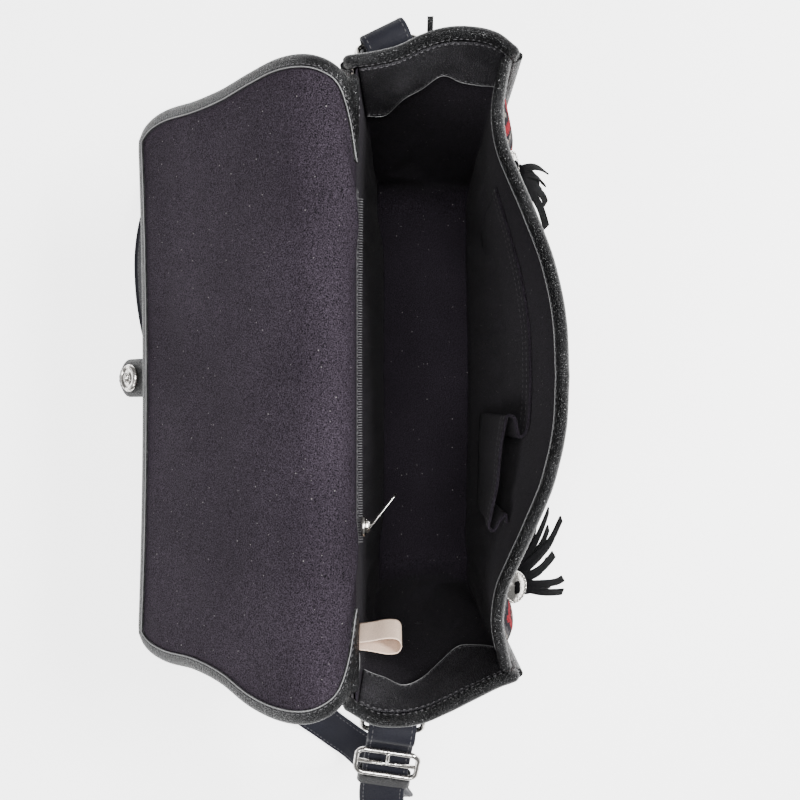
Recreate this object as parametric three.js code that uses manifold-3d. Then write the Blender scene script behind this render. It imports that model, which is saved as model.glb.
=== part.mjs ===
// A jacquard shoulder bag with leather trim. It stands on its base with the flap thrown back, so the
// lined inside shows. Millimetres, +Z up, +X to the wearer's left, the front faces -Y.
// The origin is the middle of the base's underside.
import * as THREE from "three";
import { mergeVertices } from "three/addons/utils/BufferGeometryUtils.js";
import Module from "manifold-3d";

const wasm = await Module();
wasm.setup();

// Body
const bagHeight = 250; // top of the front rim
const baseHalfLength = 166; // outside of a gusset at the base
const rimHalfLength = 186; // outside of a gusset at the rim, before its dents
const cornerRadius = 28; // lower corners, seen from the front
const frontSeam = 38; // front seams ahead of the origin
const backSeamAtBase = 44; // back seams behind the origin
const backSeamAtRim = 51;
const rimBow = 29; // middle of the front rim ahead of its seams
const baseBow = 5; // the same at the base
const belly = 5; // soft swell of the front and back at mid height
const hingeDrop = 10; // back rim, where the flap starts, below the front rim

// Walls and clearances
const panelWall = 2;
const gussetWall = 1.8;
const liningWall = 1;
const facingWall = 1;
const pocketWall = 1;
const gap = 0.3; // between sewn pieces
const rimClearance = 0.5; // more, where a binding or facing bends over a dented rim
const bindingWidth = 6.6; // rolled leather edge, across
const bindingHeight = 8; // rolled leather edge, from its seam to its crown
const seamWidth = 5; // bound seam along the front and back corners
const seamStand = 6;

// Flap
const flapLength = 208; // along its drape, from the hinge to the tip
const flapHalfWidth = 178;
const flapShift = -5; // middle of the flap beside the origin
const flapWall = 1.8; // jacquard ply
const flapTipDip = 8; // tip pulled in at the clasp
const flapShoulder = 4; // soft bulge at each end of the hinge

// Closure
const tabWidth = 26;
const tabWall = 2.4;
const tabReach = 34; // hanging end beyond the tip
const tabMiddle = 2; // beside the origin
const tabSlope = 42; // degrees below level, as the flap's end
const snapRadius = 9.5;
const snapThick = 3;
const studBelowRim = 102; // snap stud on the front, where the closed tab lands

// Pockets and label
const zipLength = 198;
const zipMiddle = 4; // beside the origin
const zipTapeWidth = 22;
const zipTapeWall = 0.8;
const zipBelowHinge = 4;
const pocketDrop = 48; // mouth of the slip pocket below the front rim
const pocketDepth = 112;
const pocketPleat = 17; // how far the phone pocket stands off the wall
const labelWidth = 18;
const labelLength = 24;
const labelLoop = 8;
const labelWall = 0.8;

// Tassels and conchos
const conchoRadius = 9.5;
const conchoDome = 2.8;
const conchoFromMiddle = 122;
const conchoBelowRim = 36;
const stripLength = 82;
const stripWidth = 4.4;
const stripWall = 1.5;
const headRadius = 6;
const headLength = 15;

// Shoulder strap
const strapWidth = 28;
const strapWall = 2.6;
const ringWire = 3;
const ringReach = 18; // between the middles of the two long bars
const ringDrop = 35; // degrees that a ring leans below level
const chapeWidth = 29;
const chapeWall = 2;
const chapeLength = 40;
const hardwareY = 27; // behind the origin
const hardwareBelowRim = 37; // a ring's inner bar
const strapFold = 50; // doubled end of the strap
const strapLoop = 7.4; // radius of the strap's loose turn round a ring
const strapSkew = { right: 15, left: -6 }; // degrees that the turn stands askew on its ring
const strapLean = { right: 20, left: 62 }; // degrees that the doubled end stands out from hanging straight
const tailLength = 42; // free end past the keeper
const tailSwing = 16; // how far its tip swings to the front
const buckleHeight = 20;
const buckleBelow = 24; // middle of the buckle from the left ring's outer bar
const keeperHeight = 7;
const keeperBelow = 41;
const laceWidth = 3.4;
const laceWall = 1.4;

// Plan of the gusset rim from the back seam to the front seam: half lengths as shares of rimHalfLength,
// and how far the rim lies below the front rim, as a share of hingeDrop.
const gussetRim = [
  { across: 0, right: 0.957, left: 1.0, drop: 1.0 },
  { across: 0.15, right: 0.968, left: 1.04, drop: 1.0 },
  { across: 0.3, right: 0.984, left: 1.045, drop: 0.95 },
  { across: 0.45, right: 1.015, left: 1.03, drop: 0.85 },
  { across: 0.6, right: 1.032, left: 0.995, drop: 0.7 },
  { across: 0.75, right: 1.027, left: 0.954, drop: 0.5 },
  { across: 0.9, right: 1.0, left: 0.911, drop: 0.15 },
  { across: 1, right: 0.96, left: 0.89, drop: 0 },
];

// Plan of the front rim from the middle to a seam: bow as a share of rimBow. It is pinched near the seams.
const frontRim = [
  { along: 0, bow: 1.0 },
  { along: 0.18, bow: 0.94 },
  { along: 0.35, bow: 0.72 },
  { along: 0.5, bow: 0.38 },
  { along: 0.6, bow: 0.12 },
  { along: 0.7, bow: -0.12 },
  { along: 0.8, bow: -0.21 },
  { along: 0.9, bow: -0.14 },
  { along: 1, bow: 0 },
];

// Drape of the open flap: shares of flapLength behind the hinge and above it.
const flapDrape = [
  { along: 0, back: 0, up: 0 },
  { along: 0.045, back: 0.004, up: 0.045 },
  { along: 0.075, back: 0.018, up: 0.071 },
  { along: 0.105, back: 0.042, up: 0.089 },
  { along: 0.145, back: 0.08, up: 0.098 },
  { along: 0.2, back: 0.134, up: 0.088 },
  { along: 0.29, back: 0.209, up: 0.038 },
  { along: 0.4, back: 0.292, up: -0.034 },
  { along: 0.53, back: 0.387, up: -0.123 },
  { along: 0.67, back: 0.489, up: -0.219 },
  { along: 0.82, back: 0.597, up: -0.323 },
  { along: 0.91, back: 0.663, up: -0.385 },
  { along: 0.965, back: 0.7, up: -0.425 },
  { along: 1, back: 0.722, up: -0.452 },
];

// Outline of the flap from the hinge to the tip: half width as a share of flapHalfWidth.
const flapOutline = [
  { along: 0, half: 0.72 },
  { along: 0.045, half: 0.735 },
  { along: 0.075, half: 0.83 },
  { along: 0.105, half: 0.915 },
  { along: 0.145, half: 0.955 },
  { along: 0.2, half: 0.985 },
  { along: 0.29, half: 1.0 },
  { along: 0.4, half: 0.995 },
  { along: 0.53, half: 0.985 },
  { along: 0.67, half: 0.985 },
  { along: 0.82, half: 0.985 },
  { along: 0.91, half: 0.965 },
  { along: 0.965, half: 0.925 },
  { along: 1, half: 0.85 },
];

// Lower edge of the leather facings: depth below the rim as a share of bagHeight.
const facingScallop = [
  { across: 0, right: 0.3, left: 0.27 },
  { across: 0.15, right: 0.285, left: 0.275 },
  { across: 0.3, right: 0.21, left: 0.16 },
  { across: 0.45, right: 0.12, left: 0.125 },
  { across: 0.6, right: 0.06, left: 0.16 },
  { across: 0.75, right: 0.12, left: 0.22 },
  { across: 0.9, right: 0.145, left: 0.21 },
  { across: 1, right: 0.15, left: 0.12 },
];

// Mouth of the slip pocket: along the front from left to right as a share of baseHalfLength, and its
// distance from the lining as a share of pocketPleat. The folds at -0.19 and -0.53 make the phone pocket.
const pocketMouth = [
  { along: 0.7, stand: 0.05 },
  { along: 0.55, stand: 0.06 },
  { along: 0.38, stand: 0.06 },
  { along: 0.2, stand: 0.06 },
  { along: 0.02, stand: 0.07 },
  { along: -0.14, stand: 0.09 },
  { along: -0.2, stand: 0.17 },
  { along: -0.215, stand: 0.33 },
  { along: -0.18, stand: 0.48 },
  { along: -0.14, stand: 0.64 },
  { along: -0.135, stand: 0.8 },
  { along: -0.18, stand: 0.93 },
  { along: -0.28, stand: 0.96 },
  { along: -0.4, stand: 0.82 },
  { along: -0.5, stand: 0.74 },
  { along: -0.55, stand: 0.64 },
  { along: -0.56, stand: 0.47 },
  { along: -0.52, stand: 0.34 },
  { along: -0.5, stand: 0.22 },
  { along: -0.53, stand: 0.08 },
];

// Route of the strap's middle from the right ring round the back to the left ring. x is a share of
// baseHalfLength, y of flapLength and z of bagHeight. lie says which way its width lies: 0 front to
// back, 1 side to side and 2 upright.
const strapRoute = [
  { x: 1.289, y: 0.148, z: 0.56, lie: 0.2 },
  { x: 1.31, y: 0.165, z: 0.42, lie: 0.6 },
  { x: 1.32, y: 0.204, z: 0.28, lie: 0.95 },
  { x: 1.325, y: 0.279, z: 0.144, lie: 1 },
  { x: 1.33, y: 0.404, z: 0.048, lie: 1 },
  { x: 1.325, y: 0.538, z: 0.008, lie: 1.15 },
  { x: 1.307, y: 0.683, z: 0.032, lie: 1.6 },
  { x: 1.247, y: 0.827, z: 0.056, lie: 2 },
  { x: 1.108, y: 0.976, z: 0.056, lie: 2 },
  { x: 0.892, y: 1.077, z: 0.056, lie: 2 },
  { x: 0.602, y: 1.12, z: 0.056, lie: 2 },
  { x: 0.271, y: 1.096, z: 0.056, lie: 2 },
  { x: -0.151, y: 1, z: 0.056, lie: 2 },
  { x: -0.572, y: 0.885, z: 0.056, lie: 2 },
  { x: -0.934, y: 0.79, z: 0.056, lie: 2 },
  { x: -1.205, y: 0.71, z: 0.056, lie: 2 },
  { x: -1.4, y: 0.62, z: 0.034, lie: 1.6 },
  { x: -1.56, y: 0.515, z: 0.01, lie: 1.2 },
  { x: -1.69, y: 0.4, z: 0.008, lie: 1 },
  { x: -1.77, y: 0.295, z: 0.03, lie: 0.8 },
  { x: -1.8, y: 0.215, z: 0.12, lie: 0.5 },
  { x: -1.79, y: 0.17, z: 0.27, lie: 0.25 },
  { x: -1.74, y: 0.145, z: 0.43, lie: 0.1 },
  { x: -1.66, y: 0.134, z: 0.57, lie: 0 },
];

// Strips of a tassel: side is the way a strip fans along the front, from -1 to 1, out how far it swings
// off the front and reach its length, all as shares of stripLength.
const tasselStrips = [
  { side: -0.3, out: 0.3, reach: 0.86 },
  { side: -0.24, out: 0.46, reach: 1.0 },
  { side: -0.16, out: 0.2, reach: 0.94 },
  { side: -0.08, out: 0.42, reach: 0.82 },
  { side: 0, out: 0.26, reach: 1.04 },
  { side: 0.08, out: 0.5, reach: 0.9 },
  { side: 0.16, out: 0.22, reach: 1.0 },
  { side: 0.24, out: 0.4, reach: 0.88 },
  { side: 0.31, out: 0.28, reach: 0.8 },
];

const black = { jacquard: 0x2a2024, leather: 0x17171a, lining: 0x1d1a20, strap: 0x14151b };
const silver = 0xb9b6b0;

const lerp = (a, b, t) => a + (b - a) * t;
const clamp = (v, low, high) => Math.min(high, Math.max(low, v));
const steps = (count) => Array.from({ length: count + 1 }, (_, i) => i / count);
const point = (x, y, z) => new THREE.Vector3(x, y, z);
const radians = THREE.MathUtils.degToRad;

// A column of a table at a place along its key column, on a smooth curve through its rows.
function read(table, key, column, at) {
  const falling = table[0][key] > table[table.length - 1][key];
  const rows = falling ? [...table].reverse() : table;
  let i = 0;
  while (i < rows.length - 2 && at > rows[i + 1][key]) i += 1;
  const slope = (j) => {
    const a = rows[Math.max(j - 1, 0)];
    const b = rows[Math.min(j + 1, rows.length - 1)];
    return (b[column] - a[column]) / (b[key] - a[key]);
  };
  const span = rows[i + 1][key] - rows[i][key];
  const t = clamp((at - rows[i][key]) / span, 0, 1);
  const t2 = t * t;
  const t3 = t2 * t;
  return (
    (2 * t3 - 3 * t2 + 1) * rows[i][column] +
    (t3 - 2 * t2 + t) * span * slope(i) +
    (3 * t2 - 2 * t3) * rows[i + 1][column] +
    (t3 - t2) * span * slope(i + 1)
  );
}

// A geometry of points and triangles, turned so that its faces point out.
function closedMesh(points, faces) {
  const sixVolumes = faces.reduce(
    (sum, [a, b, c]) => sum + points[a].dot(points[b].clone().cross(points[c])),
    0,
  );
  const outward = sixVolumes < 0 ? faces.map(([a, b, c]) => [a, c, b]) : faces;
  return new THREE.BufferGeometry()
    .setAttribute(
      "position",
      new THREE.Float32BufferAttribute(points.flatMap((p) => p.toArray()), 3),
    )
    .setIndex(outward.flat());
}

// A wall between an outer and an inner grid of points, each grid[row][column].
function wall(outer, inner) {
  const rows = outer.length;
  const columns = outer[0].length;
  const points = [...outer.flat(), ...inner.flat()];
  const at = (skin, r, c) => skin * rows * columns + r * columns + c;
  const faces = [];
  const quad = (a, b, c, d) => faces.push([a, b, c], [a, c, d]);
  for (let r = 0; r < rows - 1; r += 1) {
    for (let c = 0; c < columns - 1; c += 1) {
      quad(at(0, r, c), at(0, r, c + 1), at(0, r + 1, c + 1), at(0, r + 1, c));
      quad(at(1, r, c), at(1, r + 1, c), at(1, r + 1, c + 1), at(1, r, c + 1));
    }
    quad(at(0, r, 0), at(0, r + 1, 0), at(1, r + 1, 0), at(1, r, 0));
    const last = columns - 1;
    quad(at(0, r, last), at(1, r, last), at(1, r + 1, last), at(0, r + 1, last));
  }
  for (let c = 0; c < columns - 1; c += 1) {
    quad(at(0, 0, c), at(1, 0, c), at(1, 0, c + 1), at(0, 0, c + 1));
    const last = rows - 1;
    quad(at(0, last, c), at(0, last, c + 1), at(1, last, c + 1), at(1, last, c));
  }
  return closedMesh(points, faces);
}

// A sheet of even thickness: surface(u, v) gives its outer face, and its wall lies behind that face.
function sheet(surface, us, vs, thickness, behind = 0) {
  const reach = 1e-3;
  const skin = (depth) =>
    us.map((u) =>
      vs.map((v) => {
        const alongU = surface(u + reach, v).sub(surface(u - reach, v));
        const alongV = surface(u, v + reach).sub(surface(u, v - reach));
        const normal = alongU.cross(alongV).normalize();
        return surface(u, v).addScaledVector(normal, -depth);
      }),
    );
  return wall(skin(behind), skin(behind + thickness));
}

// A bar along stations { at, across, up }: section is a list of [across, up] corners.
function bar(stations, section, closed = false) {
  const count = section.length;
  const points = stations.flatMap(({ at, across, up }) =>
    section.map(([a, u]) => at.clone().addScaledVector(across, a).addScaledVector(up, u)),
  );
  const faces = [];
  const spans = closed ? stations.length : stations.length - 1;
  for (let s = 0; s < spans; s += 1) {
    for (let c = 0; c < count; c += 1) {
      const next = (c + 1) % count;
      const ahead = ((s + 1) % stations.length) * count;
      const here = s * count;
      faces.push([here + c, here + next, ahead + next], [here + c, ahead + next, ahead + c]);
    }
  }
  if (closed) return closedMesh(points, faces);
  const outline = section.map(([a, u]) => new THREE.Vector2(a, u));
  const cap = THREE.ShapeUtils.triangulateShape(outline, []);
  const anticlockwise = THREE.ShapeUtils.area(outline) > 0;
  const last = (stations.length - 1) * count;
  cap.forEach(([a, b, c]) => {
    faces.push(anticlockwise ? [a, c, b] : [a, b, c]);
    faces.push(anticlockwise ? [last + a, last + b, last + c] : [last + a, last + c, last + b]);
  });
  return closedMesh(points, faces);
}

// A section with rounded upper corners, width across and height up from its foot.
function roundedSection(width, height, foot = 0) {
  const half = width / 2;
  return [
    [-half * 0.8, foot],
    [-half, foot + height * 0.25],
    [-half, foot + height * 0.62],
    [-half * 0.55, foot + height],
    [half * 0.55, foot + height],
    [half, foot + height * 0.62],
    [half, foot + height * 0.25],
    [half * 0.8, foot],
  ];
}

// A geometry as a solid that can be joined and cut, and back again.
function solid(geometry) {
  const bare = geometry.clone();
  bare.deleteAttribute("normal");
  bare.deleteAttribute("uv");
  const merged = mergeVertices(bare, 1e-4);
  const corners = Array.from(merged.index.array);
  const kept = corners.filter((_, i) => {
    const [a, b, c] = corners.slice(i - (i % 3), i - (i % 3) + 3);
    return a !== b && b !== c && c !== a;
  });
  return new wasm.Manifold(
    new wasm.Mesh({
      numProp: 3,
      vertProperties: merged.attributes.position.array,
      triVerts: new Uint32Array(kept),
    }),
  );
}
function geometryOf(manifold) {
  const made = manifold.getMesh();
  return new THREE.BufferGeometry()
    .setAttribute("position", new THREE.Float32BufferAttribute(made.vertProperties, 3))
    .setIndex(Array.from(made.triVerts));
}
const joined = (...geometries) =>
  geometryOf(geometries.map(solid).reduce((whole, part) => whole.add(part)));
const cut = (geometry, ...tools) =>
  geometryOf(tools.map(solid).reduce((whole, tool) => whole.subtract(tool), solid(geometry)));

const bag = new THREE.Group();
function place(name, geometry, colour, roughness, metalness = 0) {
  const material = new THREE.MeshStandardMaterial({ color: colour, roughness, metalness });
  const mesh = new THREE.Mesh(geometry, material);
  mesh.name = name;
  bag.add(mesh);
}

// Shape of the body. Every sewn piece takes its place from these functions.

const panelTop = bagHeight - bindingHeight - gap;
const backTop = panelTop - hingeDrop;
const studHeight = bagHeight - studBelowRim;
const conchoHeight = bagHeight - conchoBelowRim;
const hardwareTop = bagHeight - hardwareBelowRim;
const riseShare = (z) => clamp((z - cornerRadius) / (panelTop - cornerRadius), 0, 1);

// Half length of the body on a side (-1 or 1) at a share across the gusset, above the rounded corner.
function halfLength(side, across, z) {
  const rim = rimHalfLength * read(gussetRim, "across", side < 0 ? "left" : "right", across);
  return lerp(baseHalfLength, rim, riseShare(z) ** 1.3);
}

// The same with the rounded lower corner, for a face that lies inset inside the gusset's outer face.
function wallX(side, across, z, inset) {
  if (z >= cornerRadius) return side * (halfLength(side, across, z) - inset);
  const radius = cornerRadius - inset;
  const below = Math.min(cornerRadius - z, radius);
  return side * (baseHalfLength - cornerRadius + Math.sqrt(radius ** 2 - below ** 2));
}

function frontY(x, z, inset) {
  const side = x < 0 ? -1 : 1;
  const along = clamp(Math.abs(x) / halfLength(side, 1, z), 0, 1);
  const share = riseShare(z);
  const rim = rimBow * read(frontRim, "along", "bow", along) * share ** 1.5;
  const soft = (1 - along ** 2) * (baseBow * (1 - share) + belly * Math.sin(Math.PI * share));
  return -(frontSeam + rim + soft) + inset;
}

function backY(x, z, inset) {
  const side = x < 0 ? -1 : 1;
  const along = clamp(Math.abs(x) / halfLength(side, 0, z), 0, 1);
  const share = riseShare(z);
  const soft = (1 - along ** 2) * belly * Math.sin(Math.PI * share);
  return lerp(backSeamAtBase, backSeamAtRim, share) + soft - inset;
}

const rimDrop = (across) => hingeDrop * read(gussetRim, "across", "drop", across);
const gussetTop = (across) => panelTop - rimDrop(across);

const acrossShares = gussetRim.map((row) => row.across);
const halfShares = [0, 0.14, 0.28, 0.4, 0.52, 0.64, 0.76, 0.88, 1];
const alongShares = [...halfShares.slice(1).map((share) => -share).reverse(), ...halfShares];
const cornerRows = 3;
const upperRows = 6;

// Heights of the rows of a wall from its foot, at inset above the floor, to its top.
function rowHeights(inset, top) {
  const corner = steps(cornerRows).map(
    (s) => cornerRadius - (cornerRadius - inset) * Math.cos((s * Math.PI) / 2),
  );
  const upper = steps(upperRows).slice(1);
  return [...corner, ...upper.map((s) => lerp(cornerRadius, top, s))];
}

// One face of the front (face -1) or back (face 1) between the gussets. Nested faces share their
// columns, so that their facets lie parallel.
function panelFace(face, top, insetX, insetY) {
  const seam = face < 0 ? 1 : 0;
  const depthAt = face < 0 ? frontY : backY;
  return rowHeights(insetX, top).map((z) =>
    alongShares.map((share) => {
      const inset = Math.abs(share) === 1 ? insetX : 0;
      const x = Math.abs(share) * wallX(share < 0 ? -1 : 1, seam, z, inset);
      return point(x, depthAt(x, z, insetY), z);
    }),
  );
}

// A point of a gusset's face. Only its first and last columns move in by insetY.
function gussetPoint(side, across, z, insetX, insetY) {
  const depth = frontSeam + lerp(backSeamAtBase, backSeamAtRim, riseShare(z));
  const x = wallX(side, across, z, insetX);
  if (across > 0 && across < 1) return point(x, depth - frontSeam - depth * across, z);
  const next = across < 0.5 ? acrossShares[1] : acrossShares[acrossShares.length - 2];
  const moved = insetY / depth / Math.abs(next - across);
  const at = lerp(across, next, moved);
  return point(lerp(x, wallX(side, next, z, insetX), moved), depth - frontSeam - depth * at, z);
}

// One face of a gusset from its foot to the rim.
function gussetFace(side, insetX, insetY) {
  const heights = acrossShares.map((across) => rowHeights(insetX, gussetTop(across)));
  return heights[0].map((_, row) =>
    acrossShares.map((across, column) => gussetPoint(side, across, heights[column][row], insetX, insetY)),
  );
}

// Depth of a panel face at a place on it. Its rows are level.
function depthOn(face, x, z) {
  let r = 0;
  while (r < face.length - 2 && z > face[r + 1][0].z) r += 1;
  const [low, high] = [face[r], face[r + 1]];
  const t = (z - low[0].z) / (high[0].z - low[0].z);
  const columnX = (c) => lerp(low[c].x, high[c].x, t);
  let c = 0;
  while (c < low.length - 2 && x > columnX(c + 1)) c += 1;
  const s = (x - columnX(c)) / (columnX(c + 1) - columnX(c));
  const [a, b, d, e] = [low[c].y, low[c + 1].y, high[c].y, high[c + 1].y];
  return s > t ? a + (b - a) * s + (e - b) * t : a + (d - a) * t + (e - d) * s;
}

function buildPanels() {
  const nested = gussetWall + gap;
  const front = wall(panelFace(-1, panelTop, nested, 0), panelFace(-1, panelTop, nested, panelWall));
  const back = wall(panelFace(1, backTop, nested, 0), panelFace(1, backTop, nested, panelWall));
  place("front_panel", front, black.jacquard, 0.85);
  place("back_panel", back, black.jacquard, 0.85);
  for (const [side, name] of [[1, "right"], [-1, "left"]]) {
    const gusset = wall(gussetFace(side, 0, 0), gussetFace(side, gussetWall, 0));
    place("gusset_" + name, gusset, black.leather, 0.5);
  }
}

function buildBase() {
  const half = baseHalfLength - cornerRadius - gap;
  const face = (z) =>
    steps(6).map((s) => {
      const x = lerp(-half, half, s);
      return [point(x, backY(x, 0, 0), z), point(x, frontY(x, 0, 0), z)];
    });
  place("base_panel", wall(face(0), face(gussetWall)), black.leather, 0.5);
}

// The lining is one open bag: rings of points from the floor to the rim, inside and outside.
function liningRings(inset) {
  const insetX = gussetWall + gap + inset;
  const insetY = panelWall + gap + inset;
  const front = panelFace(-1, panelTop, insetX, insetY);
  const back = panelFace(1, backTop, insetX, insetY);
  const right = gussetFace(1, insetX, insetY);
  const left = gussetFace(-1, insetX, insetY);
  return front.map((row, i) => [
    ...left[i],
    ...row.slice(1, -1),
    ...[...right[i]].reverse(),
    ...back[i].slice(1, -1).reverse(),
  ]);
}

function buildLining() {
  const outer = liningRings(0);
  const inner = liningRings(liningWall);
  const count = outer[0].length;
  const points = [...outer.flat(), ...inner.flat()];
  const at = (skin, row, i) => skin * outer.length * count + row * count + (i % count);
  const turnsBack = acrossShares.length + alongShares.length - 2;
  const faces = [];
  for (let i = 0; i < count; i += 1) {
    for (let row = 0; row < outer.length - 1; row += 1) {
      const corners = (skin) => [at(skin, row, i), at(skin, row, i + 1), at(skin, row + 1, i + 1), at(skin, row + 1, i)];
      for (const [skin, [a, b, c, d]] of [[0, corners(0)], [1, corners(1)]]) {
        const pair = i < turnsBack ? [[a, b, c], [a, c, d]] : [[a, b, d], [b, c, d]];
        pair.forEach((face) => faces.push(skin ? [...face].reverse() : face));
      }
    }
    const top = outer.length - 1;
    faces.push([at(0, top, i), at(0, top, i + 1), at(1, top, i + 1)]);
    faces.push([at(0, top, i), at(1, top, i + 1), at(1, top, i)]);
  }
  const floor = outer[0].map((p) => new THREE.Vector2(p.x, p.y));
  const turned = THREE.ShapeUtils.area(floor) < 0;
  THREE.ShapeUtils.triangulateShape(floor, []).forEach(([a, b, c]) => {
    const [b2, c2] = turned ? [b, c] : [c, b];
    faces.push([at(0, 0, a), at(0, 0, b2), at(0, 0, c2)]);
    faces.push([at(1, 0, a), at(1, 0, c2), at(1, 0, b2)]);
  });
  place("lining", closedMesh(points, faces), black.lining, 0.9);
}

// Leather facings inside the gussets, with scalloped lower edges.
function buildFacings() {
  for (const [side, name] of [[1, "right"], [-1, "left"]]) {
    const face = (inset) => {
      const insetX = gussetWall + liningWall + gap * 2 + rimClearance + inset;
      const insetY = panelWall + liningWall + gap * 2 + 1;
      return steps(3).map((down) =>
        acrossShares.map((across) => {
          const z = gussetTop(across) - down * bagHeight * read(facingScallop, "across", name, across);
          return gussetPoint(side, across, z, insetX, insetY);
        }),
      );
    };
    place("facing_" + name, wall(face(0), face(facingWall)), black.leather, 0.5);
  }
}

// Stations along a rim: the middle of the wall's top edge, the way across it and the way up it.
function rimStations(topEdge, lowerEdge, inwards) {
  return topEdge.map((at, i) => {
    const before = topEdge[Math.max(i - 1, 0)];
    const after = topEdge[Math.min(i + 1, topEdge.length - 1)];
    const along = after.clone().sub(before).normalize();
    const up = at.clone().sub(lowerEdge[i]).normalize();
    const across = along.clone().cross(up).normalize().multiplyScalar(inwards);
    return { at, across, up };
  });
}

function buildRimBindings() {
  const wallMiddle = (panelWall + gap + liningWall) / 2;
  const shares = alongShares.slice(1, -1);
  const endShare = 0.955;
  const columns = [-endShare, ...shares, endShare];
  const edge = (z) =>
    columns.map((share) => {
      const side = share < 0 ? -1 : 1;
      const x = Math.abs(share) * wallX(side, 1, z, gussetWall + gap);
      return point(x, frontY(x, z, wallMiddle), z);
    });
  const front = bar(
    rimStations(edge(panelTop), edge(panelTop - bindingHeight), 1),
    roundedSection(bindingWidth, bindingHeight, gap),
  );
  place("binding_front_rim", front, black.leather, 0.45);

  const gussetMiddle = (gussetWall + liningWall + facingWall) / 2 + gap;
  for (const [side, name] of [[1, "right"], [-1, "left"]]) {
    const rimEdge = (below) => {
      const line = acrossShares.map((across) => {
        return gussetPoint(side, across, gussetTop(across) - below, gussetMiddle, 0);
      });
      const end = (from, to) => from.clone().add(from.clone().sub(to).setLength(seamStand));
      const last = line.length - 1;
      return [end(line[0], line[1]), ...line, end(line[last], line[last - 1])];
    };
    const rim = bar(
      rimStations(rimEdge(0), rimEdge(bindingHeight), side),
      roundedSection(bindingWidth + 1, bindingHeight, gap + rimClearance),
    );
    place("binding_gusset_" + name, rim, black.leather, 0.45);
  }

  // Short bound stretches of the back rim beside the flap's hinge.
  const hingeHalf = flapHalfWidth * flapOutline[0].half;
  for (const [side, name] of [[1, "right"], [-1, "left"]]) {
    const start = Math.abs(flapShift + side * hingeHalf) + 9;
    const finish = halfLength(side, 0, backTop) - gussetMiddle - bindingWidth / 2 - 3;
    const stretch = (z) =>
      steps(2).map((s) => {
        const x = side * lerp(start, finish, s);
        return point(x, backY(x, z, wallMiddle), z);
      });
    const rim = bar(
      rimStations(stretch(backTop), stretch(backTop - bindingHeight), 1),
      roundedSection(bindingWidth, bindingHeight * 0.55, gap),
    );
    place("binding_back_" + name, rim, black.leather, 0.45);
  }
}

// Bound seams down the corners and along the base, on the front (face -1) and the back (face 1).
function buildSeamBindings() {
  for (const [face, name] of [[-1, "front"], [1, "back"]]) {
    const seam = face < 0 ? 1 : 0;
    const depthAt = face < 0 ? frontY : backY;
    const top = gussetTop(seam) - gap;
    const upright = (side) =>
      rowHeights(0, top).map((z, row) => {
        const turn = row >= cornerRows ? Math.PI / 2 : ((row / cornerRows) * Math.PI) / 2;
        const out = point(side * Math.sin(turn), 0, -Math.cos(turn));
        return { x: wallX(side, seam, z, 0), z, out };
      });
    const inner = baseHalfLength - cornerRadius;
    const base = steps(6)
      .slice(1, -1)
      .map((s) => ({ x: lerp(-inner, inner, s), z: 0, out: point(0, 0, -1) }));
    const path = [...upright(-1).reverse(), ...base, ...upright(1)];
    const stations = path.map(({ x, z, out }) => ({
      at: point(x, depthAt(x, z, 0) + face * gap, z).addScaledVector(out, -seamWidth / 2),
      across: out,
      up: point(0, face, 0),
    }));
    place("seam_" + name, bar(stations, roundedSection(seamWidth, seamStand)), black.leather, 0.45);
  }
}

// Flap: a point of its upper, lined face. across runs from -1 to 1 and along from the hinge to the tip.
function flapPoint(across, along, edge = 0) {
  const half = flapHalfWidth * read(flapOutline, "along", "half", clamp(along, 0, 1)) - edge;
  const x = flapShift + across * half;
  const nearHinge = Math.sin(Math.PI * clamp(along / 0.22, 0, 1));
  const nearEnd = Math.exp(-(((Math.abs(across) - 0.72) / 0.13) ** 2));
  const bulge = flapShoulder * nearHinge * nearEnd;
  const dip = flapTipDip * (1 - Math.abs(across) ** 2) * clamp(along, 0, 1) ** 3;
  const at = along - dip / flapLength;
  const back = flapLength * read(flapDrape, "along", "back", at);
  const up = flapLength * read(flapDrape, "along", "up", at);
  const over = Math.max(along - 1, 0) * flapLength;
  const hingeInset = panelWall + gap + liningWall;
  return point(
    x,
    backSeamAtRim - hingeInset + back - bulge + over * Math.SQRT1_2,
    backTop + gap + up - over * Math.SQRT1_2,
  );
}

const flapColumns = [-1, -0.88, -0.74, -0.6, -0.3, 0, 0.3, 0.6, 0.74, 0.88, 1];

function flapGrid(depth, trim) {
  const tip = 1 - trim / flapLength;
  const rows = flapDrape.map((row) => row.along * tip);
  const reach = 1e-3;
  return rows.map((along) =>
    flapColumns.map((across) => {
      const trimmed = trim * clamp(along * 20, 0, 1);
      const at = (a, b) => flapPoint(a, b, trimmed);
      const alongX = at(across + reach, along).sub(at(across - reach, along));
      const alongY = at(across, along + reach).sub(at(across, Math.max(along - reach, 0)));
      const normal = alongX.cross(alongY).normalize();
      return at(across, along).addScaledVector(normal, -depth);
    }),
  );
}

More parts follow.
